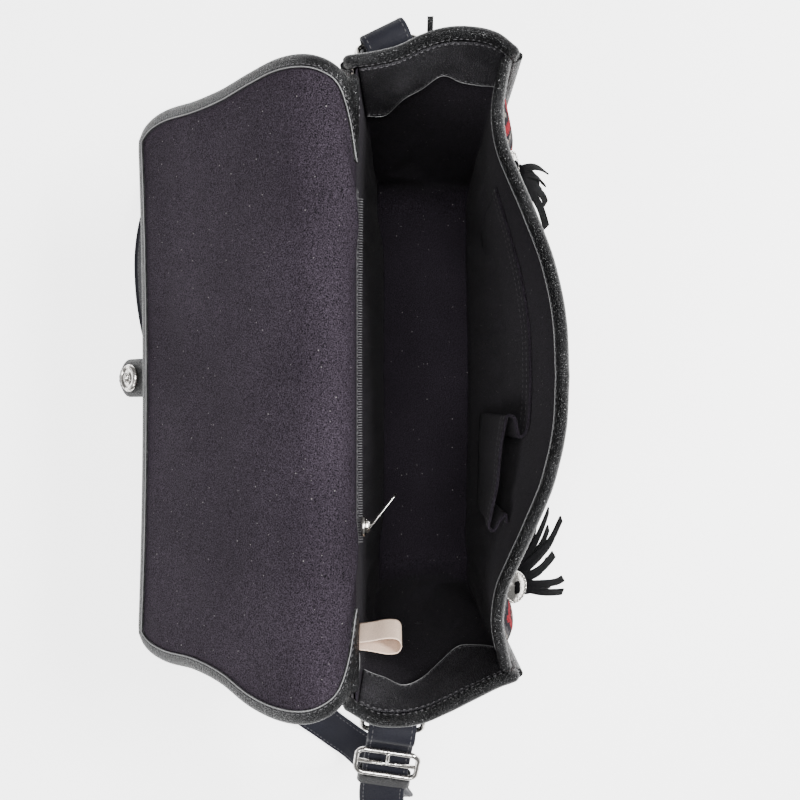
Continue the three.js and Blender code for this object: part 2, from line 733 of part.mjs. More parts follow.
function buildFlap() {
  const trim = bindingHeight + gap * 4;
  place("flap_lining", wall(flapGrid(0, trim), flapGrid(liningWall, trim)), black.lining, 0.9);
  const under = liningWall + gap;
  const ply = trim + gap * 2;
  place("flap", wall(flapGrid(under, ply), flapGrid(under + flapWall, ply)), black.jacquard, 0.85);

  // The binding runs up one side of the flap, along its tip and down the other side.
  const middle = (liningWall + gap + flapWall) / 2;
  const edge = flapGrid(middle, bindingHeight - gap * 2);
  const outer = flapGrid(middle, 0);
  const round = (grid) => [
    ...grid.map((row) => row[0]),
    ...grid[grid.length - 1].slice(1, -1),
    ...grid.map((row) => row[row.length - 1]).reverse(),
  ];
  const foot = round(edge);
  const crown = round(outer);
  const stations = foot.slice(1, -1).map((at, j) => {
    const i = j + 1;
    const along = foot[i + 1].clone().sub(foot[i - 1]).normalize();
    const raw = crown[i].clone().sub(at);
    const up = raw.addScaledVector(along, -raw.dot(along)).normalize();
    return { at, across: along.clone().cross(up).normalize(), up };
  });
  place(
    "binding_flap",
    bar(stations, roundedSection(bindingWidth - 0.8, bindingHeight)),
    black.leather,
    0.45,
  );
}

// A flat piece: an outline in its own plane, thickened to both sides, set at a place on two axes.
function plate(outline, thickness, at, across, up) {
  const shape = new THREE.Shape(outline.map(([a, u]) => new THREE.Vector2(a, u)));
  const made = new THREE.ExtrudeGeometry(shape, { depth: thickness, bevelEnabled: false });
  made.translate(0, 0, -thickness / 2);
  const out = across.clone().cross(up);
  return made.applyMatrix4(new THREE.Matrix4().makeBasis(across, up, out).setPosition(at));
}

// Outline of a rectangle with rounded corners, anticlockwise.
function roundedOutline(width, height, radius) {
  const corners = [[1, -1, -90], [1, 1, 0], [-1, 1, 90], [-1, -1, 180]];
  return corners.flatMap(([a, u, start]) =>
    steps(3).map((s) => {
      const turn = radians(start + 90 * s);
      return [
        a * (width / 2 - radius) + radius * Math.cos(turn),
        u * (height / 2 - radius) + radius * Math.sin(turn),
      ];
    }),
  );
}

// A wire bent round an outline in its own plane.
function wireLoop(outline, wire, at, across, up) {
  const out = across.clone().cross(up).normalize();
  const spot = ([a, u]) => at.clone().addScaledVector(across, a).addScaledVector(up, u);
  const stations = outline.map((corner, i) => {
    const before = spot(outline[(i + outline.length - 1) % outline.length]);
    const after = spot(outline[(i + 1) % outline.length]);
    return { at: spot(corner), across: after.sub(before).normalize().cross(out), up: out };
  });
  const round = steps(8)
    .slice(1)
    .map((s) => [(wire / 2) * Math.cos(2 * Math.PI * s), (wire / 2) * Math.sin(2 * Math.PI * s)]);
  return bar(stations, round, true);
}

// A disc standing on a place: profile is a list of [radius, height] from its foot to its crown.
function disc(profile, at, axis, segments = 20) {
  const turned = profile.map(([radius, height]) => new THREE.Vector2(radius, height));
  const made = new THREE.LatheGeometry([new THREE.Vector2(0, turned[0].y), ...turned], segments);
  const lean = new THREE.Quaternion().setFromUnitVectors(point(0, 1, 0), axis.clone().normalize());
  return made.applyMatrix4(new THREE.Matrix4().compose(at, lean, point(1, 1, 1)));
}

// The foremost depth of a face within a radius of a place on it, where a disc can lie.
function proudDepth(face, x, z, radius) {
  const around = steps(12).map((s) => {
    const turn = 2 * Math.PI * s;
    return depthOn(face, x + radius * Math.cos(turn), z + radius * Math.sin(turn));
  });
  return Math.min(depthOn(face, x, z), ...around);
}

// Inner faces of the lining, on which the zip and pockets are sewn, and the front's outer face.
const liningInset = panelWall + gap + liningWall;
const liningBack = panelFace(1, backTop, gussetWall + gap + liningWall, liningInset);
const liningFront = panelFace(-1, panelTop, gussetWall + gap + liningWall, liningInset);
const frontFace = panelFace(-1, panelTop, gussetWall + gap, 0);

function buildZip() {
  const top = backTop - zipBelowHinge;
  const half = zipLength / 2 + 4;
  const face = (stand) =>
    steps(2).map((down) =>
      steps(8).map((s) => {
        const x = zipMiddle + lerp(-half, half, s);
        const z = top - down * zipTapeWidth;
        return point(x, depthOn(liningBack, x, z) - gap - stand, z);
      }),
    );
  place("zip_tape", wall(face(0), face(zipTapeWall)), black.lining, 0.8);
  const middle = top - zipTapeWidth / 2;
  const coil = steps(8).map((s) => {
    const x = zipMiddle + lerp(-zipLength, zipLength, s) / 2;
    const y = depthOn(liningBack, x, middle) - gap * 2 - zipTapeWall;
    return { at: point(x, y, middle), across: point(0, 0, 1), up: point(0, -1, 0) };
  });
  place("zip_coil", bar(coil, roundedSection(5, 1.6)), 0x101014, 0.4);

  const sliderX = zipMiddle - zipLength / 2 + 9;
  const stand = gap * 3 + zipTapeWall + 1.6;
  const sliderY = depthOn(liningBack, sliderX, middle) - stand - 1.2;
  const slider = [[-5.5, -2.6], [-2, -3.2], [5.5, -4.2], [6, 0], [5.5, 4.2], [-2, 3.2], [-5.5, 2.6]];
  const body = plate(slider, 2.4, point(sliderX, sliderY, middle), point(1, 0, 0), point(0, 0, 1));
  const bail = plate(
    [[-3.4, 0], [3.4, 0], [3.4, 2], [2, 3], [-2, 3], [-3.4, 2]],
    2.4,
    point(sliderX, sliderY - 1, middle),
    point(1, 0, 0),
    point(0, -1, 0),
  );
  place("zip_slider", joined(body, bail), silver, 0.3, 1);

  // The pull is a slim frame that rests on the slider and points along the zip.
  const pullY = sliderY - 1 - 3 - gap - 0.8;
  const pull = cut(
    plate(roundedOutline(30, 7, 3.2), 1.6, point(sliderX + 12, pullY, middle), point(1, 0, 0), point(0, 0, 1)),
    plate(roundedOutline(19, 3.4, 1.5), 4, point(sliderX + 9.5, pullY, middle), point(1, 0, 0), point(0, 0, 1)),
  );
  place("zip_pull", pull, silver, 0.3, 1);
}

// Slip pocket on the front wall with a pleated phone pocket at its left end.
function buildSlipPocket() {
  const path = pocketMouth.map(({ along, stand }) => ({ x: along * baseHalfLength, stand }));
  const face = (side) =>
    steps(4).map((down) => {
      const flat = 1 - 0.55 * down;
      const spots = path.map(({ x, stand }) => {
        const z = panelTop - pocketDrop - rimDrop(Math.abs(x) / baseHalfLength) * 0.6 - down * pocketDepth;
        const off = pocketWall / 2 + gap + 0.15 + (stand - 0.05) * pocketPleat * flat;
        return point(x, depthOn(liningFront, x, z) + off, z);
      });
      return spots.map((spot, i) => {
        const along = spots[Math.min(i + 1, spots.length - 1)].clone().sub(spots[Math.max(i - 1, 0)]);
        const out = point(along.y, -along.x, 0).normalize();
        return spot.clone().addScaledVector(out, (side * pocketWall) / 2);
      });
    });
  place("slip_pocket", wall(face(1), face(-1)), black.lining, 0.9);
}

// Folded label that stands out from the back wall beside the zip.
function buildLabel() {
  const x = -147;
  const z = backTop - 9;
  const y = depthOn(liningBack, x, z) - gap;
  const half = labelLoop / 2 - labelWall / 2;
  const profile = [
    [0, 0.9],
    [0.3, half * 0.8],
    [0.7, half],
    [0.9, half * 0.85],
    [1, 0],
    [0.9, -half * 0.85],
    [0.7, -half],
    [0.3, -half * 0.8],
    [0, -0.9],
  ];
  const section = [[-labelWall / 2, -labelWidth / 2], [labelWall / 2, -labelWidth / 2], [labelWall / 2, labelWidth / 2], [-labelWall / 2, labelWidth / 2]];
  const spots = profile.map(([out, up]) => point(x, y - out * labelLength, z + up));
  const stations = spots.map((at, i) => {
    const along = spots[Math.min(i + 1, spots.length - 1)].clone().sub(spots[Math.max(i - 1, 0)]).normalize();
    return { at, across: point(1, 0, 0).cross(along).normalize(), up: point(1, 0, 0) };
  });
  place("care_label", bar(stations, section), 0xd9d2c4, 0.9);
}

// Closure: a tab on the flap with a magnetic socket and a stud on the front.
function buildClosure() {
  const depth = liningWall + gap + flapWall;
  const spotAt = (along, off) => {
    const reach = 1e-3;
    const at = flapPoint((tabMiddle - flapShift) / (flapHalfWidth * 0.96), along);
    const next = flapPoint((tabMiddle - flapShift) / (flapHalfWidth * 0.96), along + reach);
    const way = next.sub(at).normalize();
    return point(tabMiddle, at.y, at.z).addScaledVector(point(0, -way.z, way.y), off);
  };
  const sewn = [[-1, 0.86], [-1, 0.9], [-2.6, 0.94], [-2.6, 0.97], [-2.6, 1]];
  const under = -(depth + gap + tabWall / 2);
  const spots = sewn.map(([extra, along]) => spotAt(along, under + (extra + 1)));
  const end = spots[spots.length - 1];
  const slope = radians(tabSlope);
  const way = point(0, Math.cos(slope), -Math.sin(slope));
  const hang = steps(4).slice(1).map((s) => end.clone().addScaledVector(way, s * tabReach));
  const all = [...spots, ...hang];
  const facing = point(0, Math.sin(slope), Math.cos(slope));
  const face = (side) =>
    all.map((at, i) => {
      const past = (tabReach * (i - spots.length + 1)) / 4;
      const roundStart = tabReach - tabWidth / 2;
      const over = clamp((past - roundStart) / (tabWidth / 2), 0, 0.96);
      const half = (tabWidth / 2) * Math.sqrt(1 - over ** 2);
      return [-1, -0.5, 0, 0.5, 1].map((a) =>
        point(tabMiddle + a * half, at.y, at.z).addScaledVector(facing, (side * tabWall) / 2),
      );
    });
  place("closure_tab", wall(face(1), face(-1)), black.leather, 0.5);

  const magnet = end.clone().addScaledVector(way, tabReach - tabWidth / 2 - 1);
  const socket = disc(
    [[snapRadius, 0], [snapRadius, snapThick * 0.6], [snapRadius * 0.85, snapThick], [2.6, snapThick], [2.6, snapThick * 0.5], [0, snapThick * 0.5]],
    magnet.addScaledVector(facing, tabWall / 2 + gap),
    facing,
  );
  place("magnet_socket", socket, silver, 0.3, 1);

  const studY = proudDepth(frontFace, tabMiddle, studHeight, snapRadius) - gap;
  const stud = disc(
    [[snapRadius, 0], [snapRadius, snapThick * 0.45], [snapRadius * 0.8, snapThick * 0.7], [2.3, snapThick * 0.7], [2.3, snapThick * 1.3], [0, snapThick * 1.3]],
    point(tabMiddle, studY, studHeight),
    point(0, -1, 0),
  );
  place("snap_stud", stud, silver, 0.3, 1);
}

// A concho with its tassel: a wound head and the strips that hang from it.
function buildTassels() {
  for (const [side, name] of [[1, "right"], [-1, "left"]]) {
    const x = side * conchoFromMiddle;
    const y = proudDepth(frontFace, x, conchoHeight, conchoRadius) - gap;
    const seat = point(x, y, conchoHeight);
    const domed = disc(
      [[conchoRadius, 0], [conchoRadius, 1], [conchoRadius * 0.8, conchoDome * 0.7], [conchoRadius * 0.45, conchoDome * 0.95], [0, conchoDome]],
      seat,
      point(0, -1, 0),
    );
    const slot = (offset) =>
      plate([[-3, -0.8], [3, -0.8], [3, 0.8], [-3, 0.8]], 10, point(x + offset, y, conchoHeight), point(0, 0, 1), point(1, 0, 0));
    place("concho_" + name, cut(domed, slot(-3), slot(3)), silver, 0.35, 1);

    const headTop = conchoHeight - conchoRadius - gap;
    const stand = headRadius + 1.2;
    const windings = [0, 0.2, 0.4, 0.6, 0.8, 1].map((s, i) => [
      headRadius - (i % 2 ? 0 : 1),
      s * headLength,
    ]);
    const knot = disc([...windings, [0, headLength]], point(x, y - stand, headTop - headLength), point(0, 0, 1), 10);
    const strips = tasselStrips.map(({ side: fan, out, reach }) => {
      const root = point(x, y - stand, headTop - headLength + 3);
      const spots = steps(6).map((s) =>
        root.clone().add(
          point(
            fan * stripLength * s ** 0.8 + fan * 10,
            -out * stripLength * Math.sin(s * 1.9) * 0.75,
            -reach * stripLength * s ** 1.35,
          ),
        ),
      );
      const stations = spots.map((at, i) => {
        const along = spots[Math.min(i + 1, 6)].clone().sub(spots[Math.max(i - 1, 0)]).normalize();
        const across = along.clone().cross(point(0, -1, 0)).normalize();
        return { at, across, up: across.clone().cross(along).normalize() };
      });
      const [a, u] = [stripWidth / 2, stripWall / 2];
      return bar(stations, [[-a, -u], [a, -u], [a, u], [-a, u]]);
    });
    place("tassel_" + name, joined(knot, ...strips), black.leather, 0.5);
  }
}

// Where a ring hangs on a gusset: the seat of its leather loop and the loop's own axes.
function hardware(side) {
  const onWall = (y, z) => {
    const depth = frontSeam + lerp(backSeamAtBase, backSeamAtRim, riseShare(z));
    return gussetPoint(side, (depth - frontSeam - y) / depth, z, 0, 0);
  };
  const half = chapeWidth / 2;
  const foot = hardwareTop - chapeLength;
  const along = onWall(hardwareY + half, foot + 10).sub(onWall(hardwareY - half, foot + 10)).normalize();
  const rise = onWall(hardwareY, hardwareTop - 2).sub(onWall(hardwareY, foot)).normalize();
  const out = along.clone().cross(rise).normalize();
  if (out.x * side < 0) out.negate();
  const seat = onWall(hardwareY, hardwareTop);
  const proud = Math.max(
    ...steps(6).flatMap((s) =>
      steps(6).map((t) =>
        onWall(hardwareY + lerp(-half, half, s), foot + chapeLength * t).sub(seat).dot(out),
      ),
    ),
  );
  seat.addScaledVector(out, proud + gap);
  const bar1 = seat.clone().addScaledVector(out, 4.4);
  const flat = point(along.y * Math.sign(along.y) * side, -along.x * Math.sign(along.y) * side, 0).normalize();
  const lean = radians(ringDrop);
  const ringWay = flat.multiplyScalar(Math.cos(lean)).add(point(0, 0, -Math.sin(lean)));
  const bar2 = bar1.clone().addScaledVector(ringWay, ringReach);
  return { seat, along: along.multiplyScalar(Math.sign(along.y)), rise, out, bar1, bar2, ringWay };
}

// Frame of the strap's doubled end on a ring: along its width, face out of its outer side and down
// along its length.
function strapEnd(side) {
  const ring = hardware(side);
  const word = side > 0 ? "right" : "left";
  const skew = radians(strapSkew[word]);
  const lean = radians(strapLean[word]);
  const along = ring.along.clone().setZ(0).normalize().applyAxisAngle(point(0, 0, 1), skew);
  const level = point(side * Math.abs(along.y), -side * along.x * Math.sign(along.y), 0);
  const face = level.clone().multiplyScalar(Math.cos(lean)).add(point(0, 0, Math.sin(lean)));
  const down = level.multiplyScalar(Math.sin(lean)).add(point(0, 0, -Math.cos(lean)));
  return { bar: ring.bar2, along, face, down };
}

// Stations of a strip whose middle runs through spots: width gives the way of its width at each.
function strip(spots, widths) {
  return spots.map((at, i) => {
    const along = spots[Math.min(i + 1, spots.length - 1)].clone().sub(spots[Math.max(i - 1, 0)]).normalize();
    const width = widths[i].clone().addScaledVector(along, -widths[i].dot(along)).normalize();
    return { at, across: width, up: along.clone().cross(width) };
  });
}
const stripSection = (width, thick) => [
  [-width / 2, -thick / 2],
  [width / 2, -thick / 2],
  [width / 2, thick / 2],
  [-width / 2, thick / 2],
];

// A doubled strip over a bar: [out, up] from the bar's middle, from the inner foot to the outer foot.
function fold(radius, ply, length) {
  const turn = steps(6).map((s) => {
    const angle = radians(190 - 200 * s);
    return [radius * Math.cos(angle), radius * Math.sin(angle)];
  });
  return [[-ply, -length], [-ply, -length * 0.55], [-ply * 1.15, -radius - 3], ...turn, [ply * 1.15, -radius - 3], [ply, -length * 0.55], [ply, -length]];
}

function buildRings() {
  for (const [side, name] of [[1, "right"], [-1, "left"]]) {
    const { seat, along, rise, out, bar1, bar2, ringWay } = hardware(side);
    const radius = ringWire / 2 + gap + chapeWall / 2;
    const inner = seat.clone().addScaledVector(out, chapeWall / 2);
    const ply = (chapeWall + gap) / 2;
    const middle = inner.clone().addScaledVector(out, ply);
    const foot = chapeLength;
    const offset = bar1.clone().sub(middle).dot(out);
    const spots = fold(radius, ply, foot).map(([o, u]) => {
      const shift = u > -radius - 2 ? offset : 0;
      return middle.clone().addScaledVector(out, o + shift).addScaledVector(rise, u);
    });
    const widths = spots.map(() => along);
    place("strap_tab_" + name, bar(strip(spots, widths), stripSection(chapeWidth, chapeWall)), black.leather, 0.5);

    const ringMiddle = bar1.clone().lerp(bar2, 0.5);
    const outline = roundedOutline(chapeWidth + ringWire + 4, ringReach, 3.5);
    place("strap_ring_" + name, wireLoop(outline, ringWire, ringMiddle, along, ringWay), silver, 0.3, 1);
  }
}

function buildStrap() {
  const ply = (strapWall + gap) / 2 + 0.1;
  const over = ({ bar, along, face, down }, corners) =>
    corners.map(([off, up, swing = 0]) => ({
      at: bar.clone().addScaledVector(face, off).addScaledVector(down, -up).addScaledVector(along, -swing),
      width: along,
    }));
  const curve = new THREE.CatmullRomCurve3(
    strapRoute.map(({ x, y, z }) => point(x * baseHalfLength, y * flapLength, z * bagHeight)),
  );
  const lies = new THREE.CatmullRomCurve3(strapRoute.map(({ lie }) => point(lie, 0, 0)));
  const free = steps(44).map((s) => {
    const turn = (clamp(lies.getPoint(s).x, 0, 2) * Math.PI) / 2;
    const width = turn < Math.PI / 2
      ? point(-Math.sin(turn), Math.cos(turn), 0)
      : point(Math.sin(turn) * -1, 0, -Math.cos(turn));
    return { at: curve.getPoint(s), width };
  });
  const turned = fold(strapLoop, ply, strapFold);
  const tail = steps(4).slice(1).map((s) => [ply + 7 * s ** 2, -strapFold - tailLength * s, tailSwing * s ** 2]);
  const spots = [...over(strapEnd(1), turned), ...free, ...over(strapEnd(-1), [...turned, ...tail])];
  const stations = strip(spots.map((s) => s.at), spots.map((s) => s.width));
  const lifted = stations.map(({ at, across, up }) => {
    const lowest = (Math.abs(across.z) * strapWidth + Math.abs(up.z) * strapWall) / 2;
    return { at: point(at.x, at.y, Math.max(at.z, lowest)), across, up };
  });
  place("shoulder_strap", bar(lifted, stripSection(strapWidth, strapWall)), black.strap, 0.55);
}

// Buckle and keeper on the left end of the strap, on the outer ply of its fold.
function buildBuckle() {
  const { bar: ringBar, along, face: out, down: length } = strapEnd(-1);
  const down = (below, off) => ringBar.clone().addScaledVector(out, off).addScaledVector(length, below);
  const up = length.clone().negate();
  const ply = (strapWall + gap) / 2 + 0.1;
  const stand = ply * 1.15 + strapWall / 2 + gap + ringWire / 2;
  const width = strapWidth + 9;
  const middle = down(buckleBelow, stand);
  const frame = wireLoop(roundedOutline(width, buckleHeight, 4), ringWire, middle, along, up);
  const round = stripSection(ringWire * 0.8, ringWire * 0.8);
  const pinEnds = [-width / 2, width / 2].map((a) => middle.clone().addScaledVector(along, a));
  const pin = bar(pinEnds.map((at) => ({ at, across: out, up })), round);
  const tongueSpots = [down(buckleBelow, stand), down(buckleBelow - buckleHeight / 2, stand + 1.6)];
  const tongue = bar(
    tongueSpots.map((at) => ({ at, across: along, up: out })),
    stripSection(2.6, 2),
  );
  place("strap_buckle", joined(frame, pin, tongue), silver, 0.3, 1);

  const clear = (ply + strapWall / 2 + gap * 2) * 2;
  const keeper = cut(
    plate(roundedOutline(strapWidth + 5, clear + 3, 1.6), keeperHeight, down(keeperBelow, 0), along, out),
    plate(roundedOutline(strapWidth + 1.8, clear, 0.6), keeperHeight * 2, down(keeperBelow, 0), along, out),
  );
  place("strap_keeper", keeper, black.leather, 0.5);
}

// End of a thin lace that pokes out below the right gusset's rim.
function buildLace() {
  const across = 0.5;
  const route = [[1.1, 27], [1.1, 20], [1.6, 14], [3.2, 8], [5.6, 2], [8.4, -2], [11, -3]];
  const spots = route.map(([off, below]) => {
    const z = gussetTop(across) - below;
    const seat = gussetPoint(1, across, Math.min(z, gussetTop(across)), 0, 0);
    return point(seat.x + off, seat.y, z);
  });
  const widths = spots.map(() => point(0, 1, 0));
  place("lace_end", bar(strip(spots, widths), stripSection(laceWidth, laceWall)), black.leather, 0.5);
}

buildPanels();
buildBase();
buildLining();
buildFacings();
buildRimBindings();
buildSeamBindings();
buildFlap();
buildZip();
buildSlipPocket();
buildLabel();
buildClosure();
buildTassels();
buildRings();
buildStrap();
buildBuckle();
buildLace();

export default bag;
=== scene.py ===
"""A shoulder bag of patterned woven cloth with black leather trim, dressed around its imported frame.

The bag stands on its base with the flap thrown back. Sizes are in millimetres and each finished mesh is
in metres, in the frame's own place.
"""

import logging
import math
import random
from dataclasses import dataclass, field
from enum import Enum
from typing import Callable, Iterable, Sequence

import bmesh
import bpy
from mathutils import Matrix, Vector, noise

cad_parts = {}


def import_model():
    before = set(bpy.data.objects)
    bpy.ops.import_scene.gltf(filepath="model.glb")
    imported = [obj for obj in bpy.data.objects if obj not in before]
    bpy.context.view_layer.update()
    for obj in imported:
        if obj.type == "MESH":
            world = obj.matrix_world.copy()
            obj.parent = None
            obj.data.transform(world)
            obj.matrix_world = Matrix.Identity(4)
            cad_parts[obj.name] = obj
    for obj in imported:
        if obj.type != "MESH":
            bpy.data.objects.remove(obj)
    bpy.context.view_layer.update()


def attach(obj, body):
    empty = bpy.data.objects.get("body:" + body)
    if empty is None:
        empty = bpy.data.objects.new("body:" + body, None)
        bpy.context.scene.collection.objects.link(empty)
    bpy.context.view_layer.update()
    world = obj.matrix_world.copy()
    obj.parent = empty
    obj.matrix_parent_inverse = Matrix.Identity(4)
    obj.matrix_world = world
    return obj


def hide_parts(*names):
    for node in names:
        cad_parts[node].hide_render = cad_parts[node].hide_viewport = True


log = logging.getLogger("bag")

MM = 0.001
UV_MM = 100.0  # millimetres of cloth or leather in one unit of a UV map
Point = Vector
Section = Sequence[tuple[float, float]]


def lerp(a: float, b: float, t: float) -> float:
    """Blend a and b by t."""
    return a + (b - a) * t


def clamp(value: float, low: float = 0.0, high: float = 1.0) -> float:
    """Keep value between low and high."""
    return min(high, max(low, value))


def smooth(value: float) -> float:
    """Ease a share from 0 to 1."""
    share = clamp(value)
    return share * share * (3.0 - 2.0 * share)


def shares(count: int) -> list[float]:
    """Even shares from 0 to 1 with count spans."""
    return [i / count for i in range(count + 1)]


def ripple(x: float, y: float, z: float, size: float, seed: float = 0.0) -> float:
    """Soft noise between about -1 and 1, with bumps of size millimetres."""
    return noise.noise(Vector((x / size + seed, y / size, z / size)))


@dataclass(frozen=True)
class Table:
    """A short table that is read on a smooth curve through its rows, by its first column."""

    columns: tuple[str, ...]
    rows: tuple[tuple[float, ...], ...]

    def at(self, column: str, place: float) -> float:
        """Read a column.

        Args:
            column: Name of the column.
            place: Place along the first column.

        Returns:
            The value there.
        """
        rows = self.rows if self.rows[0][0] < self.rows[-1][0] else tuple(reversed(self.rows))
        index = self.columns.index(column)
        i = 0
        while i < len(rows) - 2 and place > rows[i + 1][0]:
            i += 1

        def slope(j: int) -> float:
            """Slope of the curve at a row."""
            a = rows[max(j - 1, 0)]
            b = rows[min(j + 1, len(rows) - 1)]
            return (b[index] - a[index]) / (b[0] - a[0])

        span = rows[i + 1][0] - rows[i][0]
        t = clamp((place - rows[i][0]) / span)
        t2 = t * t
        t3 = t2 * t
        return (
            (2 * t3 - 3 * t2 + 1) * rows[i][index]
            + (t3 - 2 * t2 + t) * span * slope(i)
            + (3 * t2 - 2 * t3) * rows[i + 1][index]
            + (t3 - t2) * span * slope(i + 1)
        )


GUSSET_RIM = Table(
    ("across", "right", "left", "drop"),
    (
        (0, 0.957, 1.0, 1.0),
        (0.15, 0.968, 1.04, 1.0),
        (0.3, 0.984, 1.045, 0.95),
        (0.45, 1.015, 1.03, 0.85),
        (0.6, 1.032, 0.995, 0.7),
        (0.75, 1.027, 0.954, 0.5),
        (0.9, 1.0, 0.911, 0.15),
        (1, 0.96, 0.89, 0),
    ),
)
FRONT_RIM = Table(
    ("along", "bow"),
    (
        (0, 1.0),
        (0.18, 0.94),
        (0.35, 0.72),
        (0.5, 0.38),
        (0.6, 0.12),
        (0.7, -0.12),
        (0.8, -0.21),
        (0.9, -0.14),
        (1, 0),
    ),
)
FLAP_DRAPE = Table(
    ("along", "back", "up"),
    (
        (0, 0, 0),
        (0.045, 0.004, 0.045),
        (0.075, 0.018, 0.071),
        (0.105, 0.042, 0.089),
        (0.145, 0.08, 0.098),
        (0.2, 0.134, 0.088),
        (0.29, 0.209, 0.038),
        (0.4, 0.292, -0.034),
        (0.53, 0.387, -0.123),
        (0.67, 0.489, -0.219),
        (0.82, 0.597, -0.323),
        (0.91, 0.663, -0.385),
        (0.965, 0.7, -0.425),
        (1, 0.722, -0.452),
    ),
)
FLAP_OUTLINE = Table(
    ("along", "right", "left"),
    (
        (0, 0.72, 0.72),
        (0.045, 0.735, 0.735),
        (0.075, 0.852, 0.864),
        (0.105, 0.946, 0.96),
        (0.145, 0.985, 1.005),
        (0.2, 1.006, 1.03),
        (0.29, 1.016, 1.04),
        (0.4, 1.006, 1.029),
        (0.53, 0.99, 0.991),
        (0.67, 0.988, 0.977),
        (0.82, 0.999, 0.988),
        (0.91, 0.985, 0.976),
        (0.965, 0.953, 0.947),
        (1, 0.895, 0.895),
    ),
)
FACING_SCALLOP = Table(
    ("across", "right", "left"),
    (
        (0, 0.258, 0.16),
        (0.15, 0.266, 0.152),
        (0.3, 0.194, 0.114),
        (0.45, 0.172, 0.136),
        (0.6, 0.132, 0.2),
        (0.75, 0.168, 0.256),
        (0.9, 0.177, 0.226),
        (1, 0.158, 0.18),
    ),
)
POCKET_MOUTH = (
    (0.7, 0.05),
    (0.55, 0.06),
    (0.38, 0.06),
    (0.2, 0.06),
    (0.02, 0.07),
    (-0.14, 0.09),
    (-0.2, 0.17),
    (-0.215, 0.33),
    (-0.18, 0.48),
    (-0.14, 0.64),
    (-0.135, 0.8),
    (-0.18, 0.93),
    (-0.28, 0.96),
    (-0.4, 0.82),
    (-0.5, 0.74),
    (-0.55, 0.64),
    (-0.56, 0.47),
    (-0.52, 0.34),
    (-0.5, 0.22),
    (-0.53, 0.08),
)
STRAP_ROUTE = (
    (1.289, 0.148, 0.56, 0.2),
    (1.31, 0.165, 0.42, 0.6),
    (1.32, 0.204, 0.28, 0.95),
    (1.325, 0.279, 0.144, 1),
    (1.33, 0.404, 0.048, 1),
    (1.325, 0.538, 0.008, 1.15),
    (1.307, 0.683, 0.032, 1.6),
    (1.247, 0.827, 0.056, 2),
    (1.108, 0.976, 0.056, 2),
    (0.892, 1.077, 0.056, 2),
    (0.602, 1.12, 0.056, 2),
    (0.271, 1.096, 0.056, 2),
    (-0.151, 1, 0.056, 2),
    (-0.572, 0.885, 0.056, 2),
    (-0.934, 0.79, 0.056, 2),
    (-1.205, 0.71, 0.056, 2),
    (-1.4, 0.62, 0.034, 1.6),
    (-1.56, 0.515, 0.01, 1.2),
    (-1.69, 0.4, 0.008, 1),
    (-1.77, 0.295, 0.03, 0.8),
    (-1.8, 0.215, 0.12, 0.5),
    (-1.79, 0.17, 0.27, 0.25),
    (-1.74, 0.145, 0.43, 0.1),
    (-1.66, 0.134, 0.57, 0),
)


class Side(Enum):
    """An end of the bag: 1 is the bag's right end, seen from its front."""

    RIGHT = 1
    LEFT = -1

    @property
    def word(self) -> str:
        """The side's name in the frame."""
        return "right" if self is Side.RIGHT else "left"


class Face(Enum):
    """A broad wall of the bag: -1 is the front."""

    FRONT = -1
    BACK = 1

    @property
    def word(self) -> str:
        """The wall's name in the frame."""
        return "front" if self is Face.FRONT else "back"


